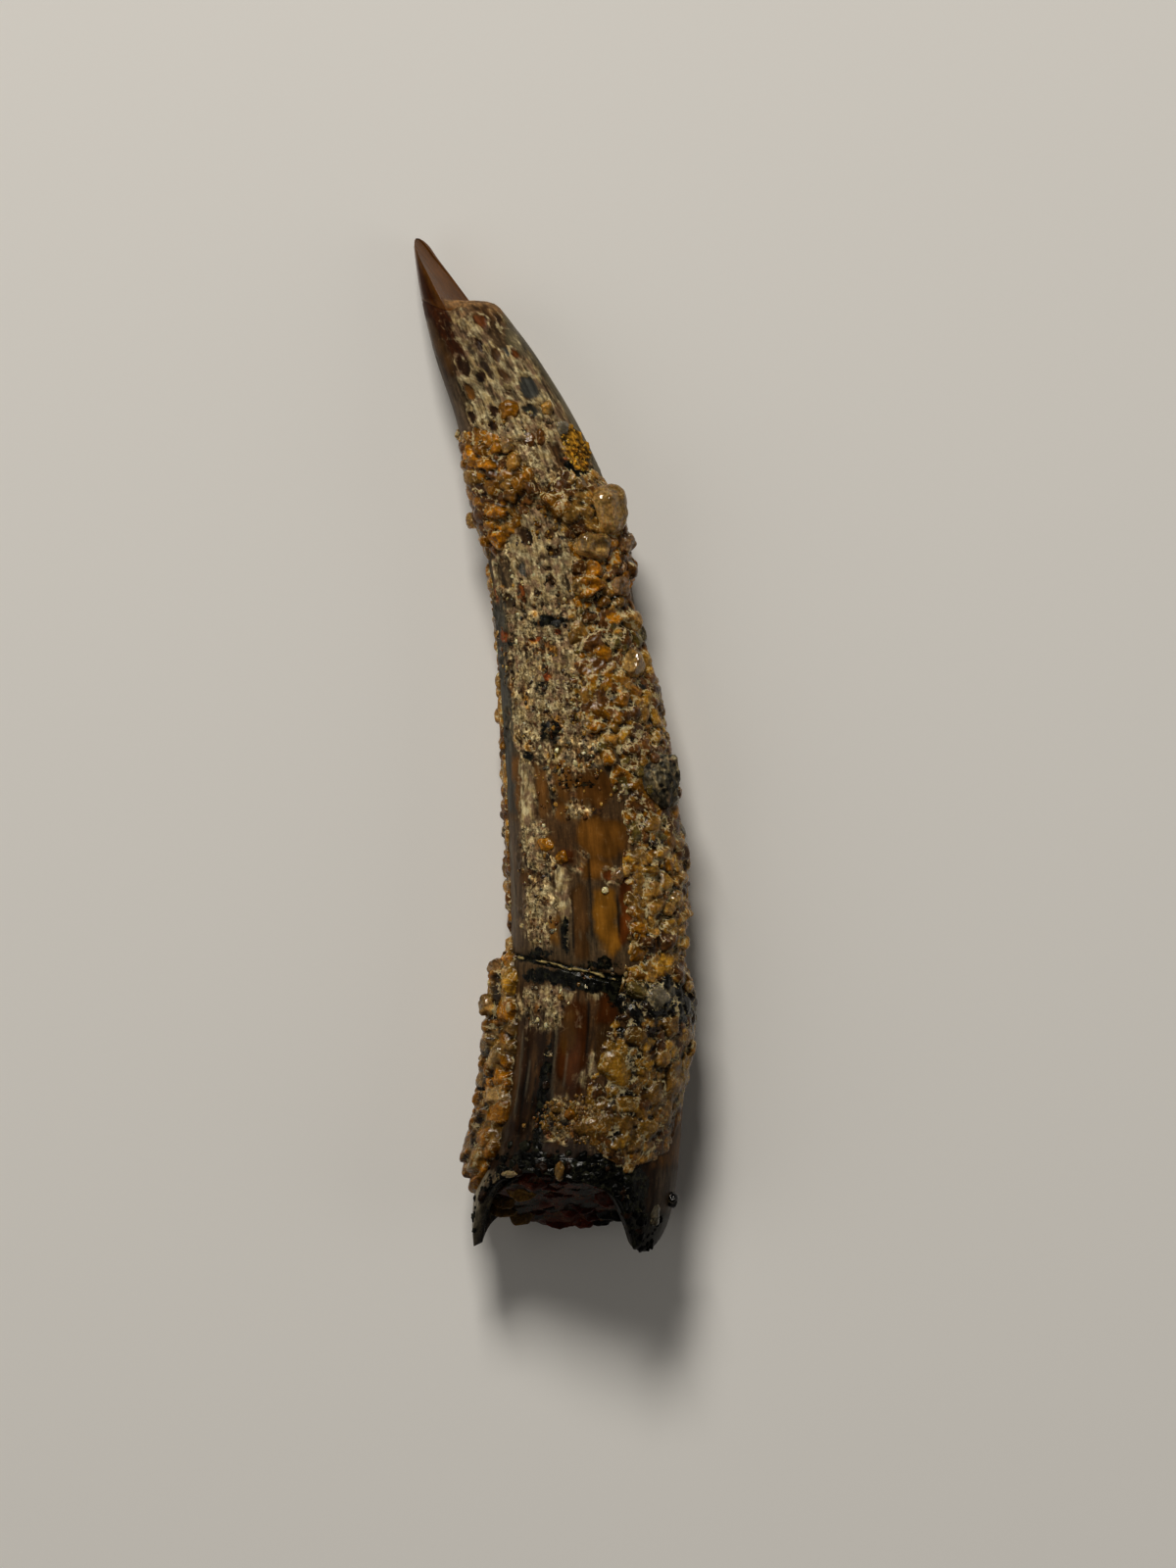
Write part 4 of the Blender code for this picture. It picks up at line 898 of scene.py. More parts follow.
    def raise_stain_and_shade(self):
        """The black stain lies in blotches with a rough surface, and hides the cement under it."""
        blotch = noise_at(self.points * (1.0, 0.8, 1.0), 1.4, 81.0) * 0.45
        blotch += noise_at(self.straight * (1.6, 0.7, 1.6), 3.6, 83.0) * 0.5
        stained = smooth_step(self.stain, 0.0, 0.25)
        self.stain = self.stain - 0.42 - blotch * stained - 0.3 * (1.0 - stained)
        self.stain -= self.thread * 2.0
        dark = smooth_step(self.stain, -0.1, 0.2)
        self.cement -= dark * 0.35
        self.relief += dark * noises(self.points, (2.7, 87.0, 0.09), (7.0, 89.0, 0.05))
        # Painted shade: the colour is darkened wherever the relief dips.
        self.tone *= np.clip(1.0 + HOLLOW_SHADE * self.relief, 0.3, 1.0)[..., None]


def mixed_paint(points, angle, along, crack_distance):
    """The paint of the upper side, and on the underside the same kinds of spots in other places."""
    centre, _, half_width, _ = section(along)
    share, across = np.cos(angle), points[..., 0]
    upper = Paint(points, across, along, share, crack_distance)
    lower = Paint(points, 2 * centre - across, along * 0.94 + 1.7, share, crack_distance)
    top = smooth_step(np.sin(angle), -0.5, -0.1)
    mixed = {}
    for field in Paint.FIELDS:
        above, below = getattr(upper, field), getattr(lower, field)
        mixed[field] = lerp(below, above, top[..., None] if above.ndim > top.ndim else top)
    return mixed


def ring_angles():
    """Angles around the tooth, closer together over its upper side."""
    top = np.linspace(TOP_FROM, TOP_TO, TOP_COLUMNS, endpoint=False)
    low = np.linspace(TOP_TO, 360 + TOP_FROM, LOW_COLUMNS, endpoint=False)
    return np.radians(np.concatenate((top, low)))


def shaft_places():
    """Places of the rings from the root's clean top to the ledge, closer together at the crack."""
    lower_end, upper_end = CRACK_ALONG - CRACK_ROWS_REACH, CRACK_ALONG + CRACK_ROWS_REACH
    stretches = (
        (ROOT_CLEAN_TOP, lower_end, ROW_STEP),
        (lower_end, upper_end, CRACK_ROW_STEP),
        (upper_end, LEDGE_BASE, ROW_STEP),
    )
    return np.concatenate([np.arange(*stretch) for stretch in stretches])


def skin_rings(angle):
    """Places and distances from the crack of the rings of the tooth's skin."""
    rim, ledge = rim_along(angle), ledge_along(angle)
    places, off_crack = [], []
    for share in np.linspace(0.0, 1.0, RIM_STEPS, endpoint=False):
        places.append(lerp(rim, ROOT_CLEAN_TOP, share))
        off_crack.append(np.full_like(rim, -FAR_FROM_CRACK))
    for place in shaft_places():
        places.append(crack_along(np.full_like(rim, place), angle))
        off_crack.append(np.full_like(rim, place - CRACK_ALONG))
    for share in np.linspace(0.0, 1.0, LEDGE_STEPS + 1):
        places.append(lerp(LEDGE_BASE, ledge, share))
        off_crack.append(np.full_like(rim, FAR_FROM_CRACK))
    return np.array(places), np.array(off_crack)


def plain_fields(shape, tone, cement=-1.0, stain=-1.0, polish=0.4):
    """Fields of a stretch that has one finish."""
    return {
        "tone": np.broadcast_to(np.asarray(tone, dtype=float), shape + (3,)).copy(),
        "cement": np.full(shape, cement),
        "stain": np.full(shape, stain),
        "polish": np.full(shape, polish),
        "grit_mask": np.zeros(shape),
    }


def shoulder(angle):
    """How far the rounded shoulder reaches at each angle: less where the ledge is narrow."""
    start, _ = spalled(ledge_along(angle) + LEDGE_HEIGHT, angle)
    width = np.linalg.norm(start - skin(ledge_along(angle), angle), axis=-1)
    return np.minimum(SHOULDER_RADIUS, 0.6 * width) + 1e-6


def shoulder_inset(places, angle):
    """How far in the skin lies where the shoulder under the ledge is rounded."""
    reach = shoulder(angle)
    share = np.clip(1.0 - (ledge_along(angle) - places) / reach, 0.0, 1.0)
    return reach * (1.0 - np.sqrt(1.0 - share**2))


def spike_stretch(angle):
    """The ledge and the glossy spike above it: points and fields."""
    foot = skin(ledge_along(angle), angle, -shoulder(angle))
    start, _ = spalled(ledge_along(angle) + LEDGE_HEIGHT, angle)
    rings = [lerp(foot, start, share) for share in np.linspace(0.0, 1.0, LEDGE_RINGS)[1:]]
    beyond = [np.full_like(angle, 1.0)] * len(rings)
    for place in np.arange(ledge_along(angle).max() + 2 * LEDGE_HEIGHT, TIP_ALONG, SPIKE_STEP):
        ring, cut = spalled(np.full_like(angle, place), angle)
        rounding = math.sqrt(max(0.0, 1.0 - (max(0.0, place - TIP_ALONG + TIP_ROUNDING) / TIP_ROUNDING) ** 2))
        rings.append(lerp(ring.mean(axis=0), ring, max(rounding, TIP_SHARE)))
        beyond.append(cut)
    rings, beyond = np.array(rings), np.array(beyond)
    fields = plain_fields(beyond.shape, SPIKE_BROWN, polish=0.8)
    # Painted highlight: a pale rim of light down the spike's left edge.
    rim_light = smooth_step(-np.broadcast_to(np.cos(angle), beyond.shape), 0.9, 0.99)
    tone = blend(fields["tone"], rim_light, SPIKE_RIM_LIGHT)
    tone = blend(tone, smooth_step(beyond, -0.4, 0.0) * 0.7, AMBER_BROWN)
    tone = blend(tone, smooth_step(beyond, -0.12, 0.06), FACET_BROWN)
    count = LEDGE_RINGS - 1
    width = smooth_step(np.linalg.norm(start - foot, axis=-1), 0.25, 0.55)
    rough = noise_at(rings[:count], 4.0, 91.0)
    tone[:count] += (tinted(LEDGE_PALE, 1.0 + 0.6 * rough) - tone[:count]) * width[:, None] * 0.9
    fields["polish"][:count] += (0.4 - fields["polish"][:count]) * width
    rings[1:count - 1, :, 1] += LEDGE_UNEVEN * rough[1:count - 1] * width
    fields["tone"] = tone * (1.0 + 0.25 * noise_at(rings * (1.5, 0.6, 1.5), 1.0, 11.0))[..., None]
    return rings, fields


def cavity_stretch(angle):
    """The wall of the pulp cavity, from its inner end to the broken rim: points and fields."""
    uneven = noise_at(np.stack((angle * 4.0, 0 * angle, 0 * angle + 3.0), axis=-1))
    rim = rim_along(angle) + RIM_BEVEL * (1.0 + uneven)
    rings = [cavity(np.full_like(angle, place), angle) for place in CAVITY_PLACES]
    for share in np.linspace(1.0, 0.0, CAVITY_STEPS):
        rings.append(cavity(lerp(rim, ROOT_CLEAN_TOP, share), angle))
    rings = np.array(rings)
    fields = plain_fields(rings.shape[:2], CHOCOLATE, cement=-0.35, stain=0.1, polish=0.4)
    fields["cement"] += 0.5 * noise_at(rings, 1.6, 13.0)
    fields["stain"] += 0.5 * noise_at(rings, 1.1, 19.0)
    shown = rings[len(CAVITY_PLACES):-1]
    rough = CAVITY_UNEVEN * noise_at(shown, 2.6, 29.0)
    shown[..., 0] -= rough * np.cos(angle)
    shown[..., 2] -= rough * np.sin(angle)
    return rings, fields


def loft_faces(rows, columns):
    """Quads between rings, and the triangles that close both ends on the last two points."""
    index = np.arange(rows * columns).reshape(rows, columns)
    following = np.roll(index, -1, axis=1)
    quads = np.stack((index[:-1], following[:-1], following[1:], index[1:]), axis=-1).reshape(-1, 4)
    first, last = rows * columns, rows * columns + 1
    start_cap = [(b, a, first) for a, b in zip(index[0], following[0])]
    end_cap = [(a, b, last) for a, b in zip(index[-1], following[-1])]
    return quads.tolist() + start_cap + end_cap


def closed_loft(rings, fields):
    """Points, faces and fields of rings closed at both ends by their middles."""
    flat = {}
    for name, values in {"points": rings, **fields}.items():
        ends = (values[:1].mean(axis=1), values[-1:].mean(axis=1))
        flat[name] = np.concatenate((values.reshape((-1,) + values.shape[2:]),) + ends)
    return flat.pop("points"), loft_faces(*rings.shape[:2]), flat


def add_attribute(mesh, name, values):
    """A field of the mesh: a number or a colour at each point."""
    if values.ndim == 1:
        attribute = mesh.attributes.new(name, "FLOAT", "POINT")
        attribute.data.foreach_set("value", values.astype(np.float32))
        return
    attribute = mesh.attributes.new(name, "FLOAT_COLOR", "POINT")
    rgba = np.concatenate((np.clip(values, 0.0, 1.0), np.ones((len(values), 1))), axis=1)
    attribute.data.foreach_set("color", rgba.astype(np.float32).ravel())


def make_mesh(name, points, faces, fields, materials, face_materials=None):
    """A smooth mesh object with its painted fields, on the tooth's body."""
    mesh = bpy.data.meshes.new(name)
    mesh.from_pydata((points * METRES_PER_MM).tolist(), [], faces)
    place = mesh.attributes.new("place", "FLOAT_VECTOR", "POINT")
    place.data.foreach_set("vector", straightened(points).astype(np.float32).ravel())
    # Painted darkening along the tooth, partly painted shade towards the root.
    shade = np.interp(points[:, 1], *zip(*DARKENING_ALONG))
    for field, values in {**fields, "shade": shade}.items():
        add_attribute(mesh, field, values * shade[:, None] if field == "tone" else values)
    for material in materials:
        mesh.materials.append(material)
    if face_materials is not None:
        mesh.polygons.foreach_set("material_index", face_materials)
    mesh.shade_smooth()
    mesh.update()
    item = bpy.data.objects.new(name, mesh)
    bpy.context.scene.collection.objects.link(item)
    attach(item, BODY)
    return item


def make_tooth(material):
    """The tooth's whole surface, from the inner end of its cavity over the broken rim to its tip."""
    angle = ring_angles()
    places, off_crack = skin_rings(angle)
    around = np.broadcast_to(angle, places.shape)
    fields = mixed_paint(skin(places, around), around, places, off_crack)
    row = np.arange(len(places))
    fade_in, fade_out = smooth_step(row, 0.0, 5.0)[:, None], smooth_step(row[::-1], 0.0, 4.0)[:, None]
    relief = fields.pop("relief") * fade_in * fade_out
    rings = skin(places, around, relief - shoulder_inset(places, angle))
    near = smooth_step(places - ledge_along(angle) + 2.0 * shoulder(angle), 0.0, SHOULDER_RADIUS)
    near *= smooth_step(shoulder(angle), 0.05, 0.3) * smooth_step(0.5 + noise_at(rings, 3.0, 33.0), 0.1, 0.5)
    fields["tone"] = blend(fields["tone"], near * 0.85, LEDGE_PALE)
    fields["cement"] -= near * 0.3
    inner, inner_fields = cavity_stretch(angle)
    spike, spike_fields = spike_stretch(angle)
    whole = {name: np.concatenate((inner_fields[name], fields[name], spike_fields[name])) for name in fields}
    points, faces, flat = closed_loft(np.concatenate((inner, rings, spike)), whole)
    item = make_mesh("tooth_surface", points, faces, flat, [material])
    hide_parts("tooth")


def sphere(level):
    """Points and triangles of a unit icosphere."""
    shape = bmesh.new()
    bmesh.ops.create_icosphere(shape, subdivisions=level, radius=1.0)
    points = np.array([tuple(vertex.co) for vertex in shape.verts])
    faces = np.array([[vertex.index for vertex in face.verts] for face in shape.faces])
    shape.free()
    return points, faces


SPHERES = {level: sphere(level) for level in (2, 3, 4, 5, 6)}


def seated(local, seat, sizes, outward):
    """Points of a unit shape, set at a place with half sizes given across, along and out."""
    side = np.array((outward[2], 0.0, -outward[0]))
    return (
        seat
        + np.outer(local[:, 0] * sizes[0], side)
        + np.outer(local[:, 1] * sizes[1], (0.0, 1.0, 0.0))
        + np.outer(local[:, 2] * sizes[2], outward)
    )


class Grains:
    """Many grains joined in one mesh."""

    def __init__(self, seed):
        """Start with no grains."""
        self.chance = np.random.default_rng(seed)
        self.points, self.faces, self.tones, self.films, self.looks = [], [], [], [], []
        self.count = 0

    def shape(self, level, dent=0.0, flats=4, rough=1.0, square=1.0):
        """A worn grain of unit size: uneven, with a few flat sides and perhaps a dent on top."""
        points, faces = SPHERES[level]
        points = np.sign(points) * np.abs(points) ** square
        shift = self.chance.uniform(-50.0, 50.0, 3)
        swell = 1.0 + rough * noises(points, (1.25, shift, 0.4), (3.4, shift, 0.14))
        worn = points * swell[:, None]
        for _ in range(flats):
            facing = self.chance.normal(size=3)
            facing /= np.linalg.norm(facing)
            beyond = worn @ facing - self.chance.uniform(0.66, 0.9)
            worn = worn - np.outer(np.maximum(beyond, 0.0) * 0.85, facing)
        if dent:
            near = np.exp(-((points[:, 0] ** 2 + points[:, 1] ** 2) / 0.22)) * (points[:, 2] > 0)
            worn[:, 2] -= dent * near
        return worn, faces

    def add(self, seat, outward, sizes, colour, level, film=0.0, **form):
        """A grain with its middle at a place, its half sizes given across, along and out."""
        local, faces = self.shape(level, **form)
        points = seated(local, seat, sizes, outward)
        points[:, 2] = np.maximum(points[:, 2], 0.0)
        deep = 1.0 - smooth_step(local[:, 2], -0.4, 0.7)
        # Painted shade: each grain is painted darker towards its underside.
        shade = self.chance.uniform(0.82, 1.18) * (1.0 - 0.55 * deep)
        clear = colour in CLEAR_COLOURS
        # Clear grains are instead painted lighter low down and at their sides, as painted light passing
        # through them, and lighter on the side away from the key light, as painted glow.
        if clear:
            vein = np.exp(-((noise_at(local, 1.7, self.chance.uniform(-50.0, 50.0)) / 0.07) ** 2))
            shade = (0.72 + 0.5 * deep) * (1.0 - GRAIN_PAINTED_GLOW * local[:, 1]) * (1.0 - 0.35 * vein)
        self.points.append(points)
        self.faces.append(faces + self.count)
        self.tones.append(tinted(colour, shade))
        self.films.append(film * (0.12 + 0.88 * deep))
        self.looks.append(np.full(len(faces), int(clear)))
        self.count += len(points)

    def on_skin(self, along, angle, sizes, top, colour, level, **form):
        """A grain on the tooth's skin whose top stands at a height above it."""
        outward = outward_at(np.array(along, dtype=float), np.array(angle, dtype=float))
        self.add(skin(along, angle) + outward * (top - sizes[2] * 0.9), outward, sizes, colour, level, **form)

    def make(self, name, node, slot, materials):
        """The piece of joined grains."""
        fields = {"tone": np.concatenate(self.tones), "film": np.concatenate(self.films)}
        faces, looks = np.concatenate(self.faces).tolist(), np.concatenate(self.looks).astype(np.int32)
        item = make_mesh(name, np.concatenate(self.points), faces, fields, materials, looks)
        if node:
            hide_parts(node)


def zone_at(zones, along):
    """The pale film's share, the grains' height and the colours that they may have along the tooth."""
    for start, end, film, rise, colours in zones:
        if start <= along < end:
            return film, rise, colours
    return zones[-1][2:]


def free_spots(spots, radii, taken, taken_radii, spacing, most=None):
    """Which of a list of spots have room, in turn, beside those taken and each other."""
    kept = []
    taken, taken_radii = list(taken), list(taken_radii)
    for index, (spot, radius) in enumerate(zip(spots, radii)):
        if most is not None and len(kept) >= most:
            break
        if taken:
            distance = np.linalg.norm(np.array(taken) - spot, axis=1)
            if np.any(distance < spacing * 0.5 * (np.array(taken_radii) + radius)):
                continue
        taken.append(spot)
        taken_radii.append(radius)
        kept.append(index)
    return kept, taken, taken_radii


def crust_span(table, along):
    """The angles of a crust's lower and upper edge, and its thickness."""
    low, high = read_table(table, along, 1), read_table(table, along, 2)
    return np.radians(low), np.radians(high), read_table(table, along, 3)


def grid_count(length):
    """Points of a grid along a length, so that every COARSE steps make one longer step."""
    return COARSE * max(2, round(length / CRUST_CELL / COARSE)) + 1


class Crust:
    """Sand cemented to the tooth: a grid of heights above the skin, raised grain by grain."""

    def __init__(self, table, zones, seed, ground):
        """Lay the cement ground, which dips under the tooth's skin outside the crust's edges."""
        self.table, self.zones = table, zones
        self.chance = np.random.default_rng(seed)
        low, high, thickness = self.lay_grid()
        radius = section(self.along)[2]
        sides = np.minimum((self.angle - low) * radius, (high - self.angle) * radius)
        ends = np.minimum(self.along - table[0][0], table[-1][0] - self.along)
        edge = np.minimum(sides, ends) + 0.22 * noise_at(self.base, 1.4, 5.0)
        inside = smooth_step(edge, -0.05, 0.45)
        distance, _, chance = cells_at(self.base, GROUND_CELL)
        bump = np.maximum(0.0, 1.0 - (distance / 0.6) ** 2) * (0.3 + 0.9 * chance)
        hollow = 1.0 - (1.2 - ground) * smooth_step(noise_at(self.base, 1.3, 7.0), 0.05, 0.45)
        self.full = smooth_step(edge, 0.0, 1.3) * 0.6 + 0.4
        self.border = 1.0 - smooth_step(edge, 0.0, 0.4)
        self.body = thickness * ground * hollow * self.full
        self.bare = np.ones_like(self.body)
        bumpy = self.body * (0.75 + 0.3 * bump) + 0.05 * noise_at(self.base, 3.1, 9.0)
        self.height = inside * bumpy - OUTSIDE_SINK * (1.0 - inside)
        self.tone = cell_tone(chance, GROUND_PALETTE)
        self.span = np.full_like(self.height, 0.2)
        self.peak = self.height + self.span * 0.8
        self.spots, self.radii = [], []

    def lay_grid(self):
        """Set the grid's places, and give the angles of the crust's edges and its thickness there."""
        table = self.table
        start, end = table[0][0] - CRUST_MARGIN, table[-1][0] + CRUST_MARGIN
        arc = max(math.radians(row[2] - row[1]) * float(section(np.array(row[0]))[2]) for row in table)
        rows, columns = grid_count(end - start), grid_count(arc + 2 * CRUST_MARGIN)
        self.along = np.linspace(start, end, rows)[:, None] + np.zeros(columns)
        low, high, thickness = crust_span(table, self.along)
        margin = CRUST_MARGIN / section(self.along)[2]
        self.angle = lerp(low - margin, high + margin, np.linspace(0.0, 1.0, columns)[None, :])
        self.base = skin(self.along, self.angle)
        return low, high, thickness

    def add(self, along, angle, half_width, half_length, top, colour, dent=0.0, turn=0.0):
        """Raise one grain by its half sizes and the height of its top, merged with what is there."""
        chance = self.chance
        rows = np.abs(self.along[:, 0] - along) < max(half_width, half_length) * 1.05
        outward = outward_at(np.array(along, dtype=float), np.array(angle, dtype=float))
        offset = self.base[rows] - skin(along, angle)
        across, ahead = offset @ (outward[2], 0.0, -outward[0]), offset[..., 1]
        bend = 1.0 + 0.22 * noise_at(self.base[rows], 1.6 / max(half_width, 0.2), chance.uniform(-50, 50))
        aside = (across * math.cos(turn) + ahead * math.sin(turn)) / half_width * bend
        ahead = (ahead * math.cos(turn) - across * math.sin(turn)) / half_length * bend
        power = chance.uniform(2.0, 3.2)
        reach = np.abs(aside) ** power + np.abs(ahead) ** power
        dome = np.sqrt(np.maximum(0.0, 1.0 - reach))
        for _ in range(GRAIN_FLATS):
            facing = chance.normal(size=3) * (1.0, 1.0, 0.5)
            facing[2] = abs(facing[2]) + 0.3
            facing /= np.linalg.norm(facing)
            limit = chance.uniform(0.6, 0.88)
            dome = np.minimum(dome, (limit - facing[0] * aside - facing[1] * ahead) / facing[2])
        dome = dome - dent * np.exp(-(aside**2 + ahead**2) / 0.2)
        nearest = np.unravel_index(np.argmin(reach), reach.shape)
        body, smaller = self.body[rows][nearest], min(half_width, half_length)
        zone_rise = zone_at(self.zones, along)[1]
        if top is None:
            rise = chance.uniform(*GRAIN_RISE) * self.full[rows][nearest] * zone_rise
            top = body + smaller * rise
        span = max(0.95 * zone_rise * smaller, top - body)
        cap = np.where(reach < 1.0, top + (dome - 1.0) * span, -1.0)
        gap = cap - self.height[rows]
        near = np.maximum(MERGE - np.abs(gap), 0.0)
        self.height[rows] = np.maximum(cap, self.height[rows]) + near**2 / (4 * MERGE)
        share = smooth_step(gap, -MERGE / 2, MERGE / 2)
        # Painted glow: the grain is painted lighter on its side away from the key light.
        painted_glow = 1.0 - GRAIN_PAINTED_GLOW * np.clip((self.base[rows][..., 1] - along) / half_length, -1.0, 1.0)
        self.tone[rows] = blend(self.tone[rows], share, tinted(colour, chance.uniform(0.62, 1.25) * painted_glow))
        self.bare[rows] *= 1.0 - share
        self.peak[rows] += (top - self.peak[rows]) * share
        self.span[rows] += (span - self.span[rows]) * share

    def scatter(self, smallest, largest, tries):
        """Grains of a range of sizes wherever there is room between those already there."""
        chance = self.chance
        along = chance.uniform(self.table[0][0], self.table[-1][0], tries)
        low, high, _ = crust_span(self.table, along)
        angle = lerp(low, high + EDGE_GRAINS * chance.random(tries) ** 2, chance.random(tries))
        radius = chance.uniform(smallest, largest, tries)
        spots = skin(along, angle)
        kept, self.spots, self.radii = free_spots(spots, radius, self.spots, self.radii, GRAIN_SPACING)
        for index in kept:
            half_width, half_length = radius[index] * chance.uniform(0.8, 1.3, 2)
            colours = zone_at(self.zones, along[index] + chance.normal(0.0, 0.25))[2]
            colour = colours[chance.integers(len(colours))]
            turn = chance.uniform(0.0, 3.1)
            self.add(along[index], angle[index], half_width, half_length, None, colour, turn=turn)

    def arrays(self):
        """Points, faces and fields of the closed crust."""
        rough = noises(self.base, (4.6, 3.0, 0.022), (11.0, 3.0, 0.012))
        top = self.base + outward_at(self.along, self.angle) * (self.height + rough)[..., None]
        bottom = skin(self.along[::COARSE, ::COARSE], self.angle[::COARSE, ::COARSE], -CRUST_SINK)
        deep = np.clip((self.peak - self.height) / self.span, 0.0, 1.2)
        share = np.array([zone_at(self.zones, place)[0] for place in self.along[:, 0]])[:, None]
        film = share * (0.2 + 0.8 * np.exp(-(((deep - 0.42) / 0.17) ** 2)))
        film += (0.42 - film) * self.bare
        film += 0.05 * self.border
        # Painted shade: the crevices between grains are painted darker, less so at the crust's border.
        dark = 1.0 - (0.88 - 0.45 * self.border) * smooth_step(deep, 0.42, 0.85)
        flat = {}
        for name, values in {"tone": self.tone * dark[..., None], "film": film}.items():
            under = values[::COARSE, ::COARSE]
            flat[name] = np.concatenate([part.reshape((-1,) + values.shape[2:]) for part in (values, under)])
        points = np.concatenate((top.reshape(-1, 3), bottom.reshape(-1, 3)))
        points[:, 2] = np.maximum(points[:, 2], 0.0)
        return points, crust_faces(*self.height.shape), flat


def crust_faces(rows, columns):
    """Quads of a fine grid, quads of a coarse one under it, and a rim of longer faces between them."""
    index = np.arange(rows * columns).reshape(rows, columns)
    coarse_rows, coarse_columns = (rows - 1) // COARSE + 1, (columns - 1) // COARSE + 1
    below = np.arange(coarse_rows * coarse_columns).reshape(coarse_rows, coarse_columns) + rows * columns
    faces = grid_quads(index) + [face[::-1] for face in grid_quads(below)]
    fine, coarse = border(index), border(below)
    for step, (here, following) in enumerate(zip(coarse, coarse[1:] + coarse[:1])):
        chain = [fine[(step * COARSE + k) % len(fine)] for k in range(COARSE, -1, -1)]
        faces.append(chain + [here, following])
    return faces


def grid_quads(index):
    """Quads between the points of a grid."""
    corners = (index[:-1, :-1], index[:-1, 1:], index[1:, 1:], index[1:, :-1])
    return np.stack(corners, axis=-1).reshape(-1, 4).tolist()


def border(index):
    """The border of a grid, as one loop of points."""
    return np.concatenate((index[0, :-1], index[:-1, -1], index[-1, :0:-1], index[:0:-1, 0])).tolist()


def make_crust(sand, clear_sand, node, table, zones, placed, seed, slot, ground, size):
    """A sand crust: its best grains as listed, the clear ones apart, and a scatter of others."""
    crust, clear = Crust(table, zones, seed, ground), Grains(seed)
    for colour, across, along, half_width, half_length, height, dent in placed:
        angle = float(top_angle(across, along))
        crust.spots.append(skin(along, angle))
        crust.radii.append(math.sqrt(half_width * half_length) * PLACED_GRAIN_ROOM)
        if colour not in CLEAR_COLOURS:
            crust.add(along, angle, half_width, half_length, height, colour, dent=dent)
            continue
        crust.add(along, angle, half_width * 1.1, half_length * 1.1, height * 0.55, HONEY)
        sizes = (half_width, half_length, min(half_width, half_length) * 0.95)
        form = {"rough": 0.5 if half_width > 0.5 else 0.7, "square": 0.7 if half_width > 0.6 else 0.88}
        clear.on_skin(along, angle, sizes, height, colour, 5, film=-0.2, dent=dent, flats=2, **form)
    for smallest, largest, tries in GRAIN_SIZES:
        crust.scatter(smallest * size, largest * size, tries)
    item = make_mesh(node.replace("sand_crust", "sand"), *crust.arrays(), [sand])
    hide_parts(node)
    if clear.count:
        clear.make(node.replace("sand_crust", "clear_grains"), node, slot, [clear_sand] * 2)


def make_grit(sand, clear_sand):
    """Fine grit and single bits on the bare parts of the tooth."""
    grains = Grains(31)
    chance = grains.chance
    for across, along, half_width, half_length, count, colours in GRIT_FIELDS:
        middle = section(np.array(along, dtype=float))[0]
        spread, turn = np.sqrt(chance.random(count)), chance.uniform(0.0, 2 * math.pi, count)
        place = along + half_length * spread * np.sin(turn)
        aside = across + section(place)[0] - middle + half_width * spread * np.cos(turn)
        angle = top_angle(aside, place)
        radius = chance.uniform(*GRIT_RADII, count)
        for index in range(count):
            sizes = radius[index] * np.array((1.0, chance.uniform(0.9, 1.4), 0.8))
            colour = colours[chance.integers(len(colours))]
            top = radius[index] * 0.7
            grains.on_skin(place[index], angle[index], sizes, top, colour, 2, film=0.3, rough=1.5)
    for colour, across, along, half_width, half_length, height in BITS:
        sizes = (half_width, half_length, min(half_width, half_length) * 0.8)
        angle = float(top_angle(across, along))
        grains.on_skin(along, angle, sizes, height, colour, 4, flats=2, film=0.2, rough=0.7)
    grains.make("grit", None, "honey_sand", [sand, clear_sand])


def make_rim_lumps(sand):
    """Lumps of cement around the broken rim, black partly for stain and partly as painted shade."""
    grains = Grains(37)
    chance = grains.chance
    angle = np.radians(chance.uniform(*RIM_LUMP_ANGLES, RIM_LUMPS))
    place = rim_along(angle) + 0.1 + RIM_LUMP_REACH * chance.random(RIM_LUMPS) ** 1.5
    radius = chance.uniform(*RIM_LUMP_RADII, RIM_LUMPS)
    for index in range(RIM_LUMPS):
        sizes = radius[index] * np.array((chance.uniform(0.8, 1.3), chance.uniform(0.8, 1.3), 0.7))
        colour = RIM_LUMP_COLOURS[chance.integers(len(RIM_LUMP_COLOURS))]
        top = radius[index] * 0.35
        grains.on_skin(place[index], angle[index], sizes, top, colour, 3, film=-0.3, rough=1.3)
    grains.make("rim_lumps", None, "ironstone", [sand, sand])


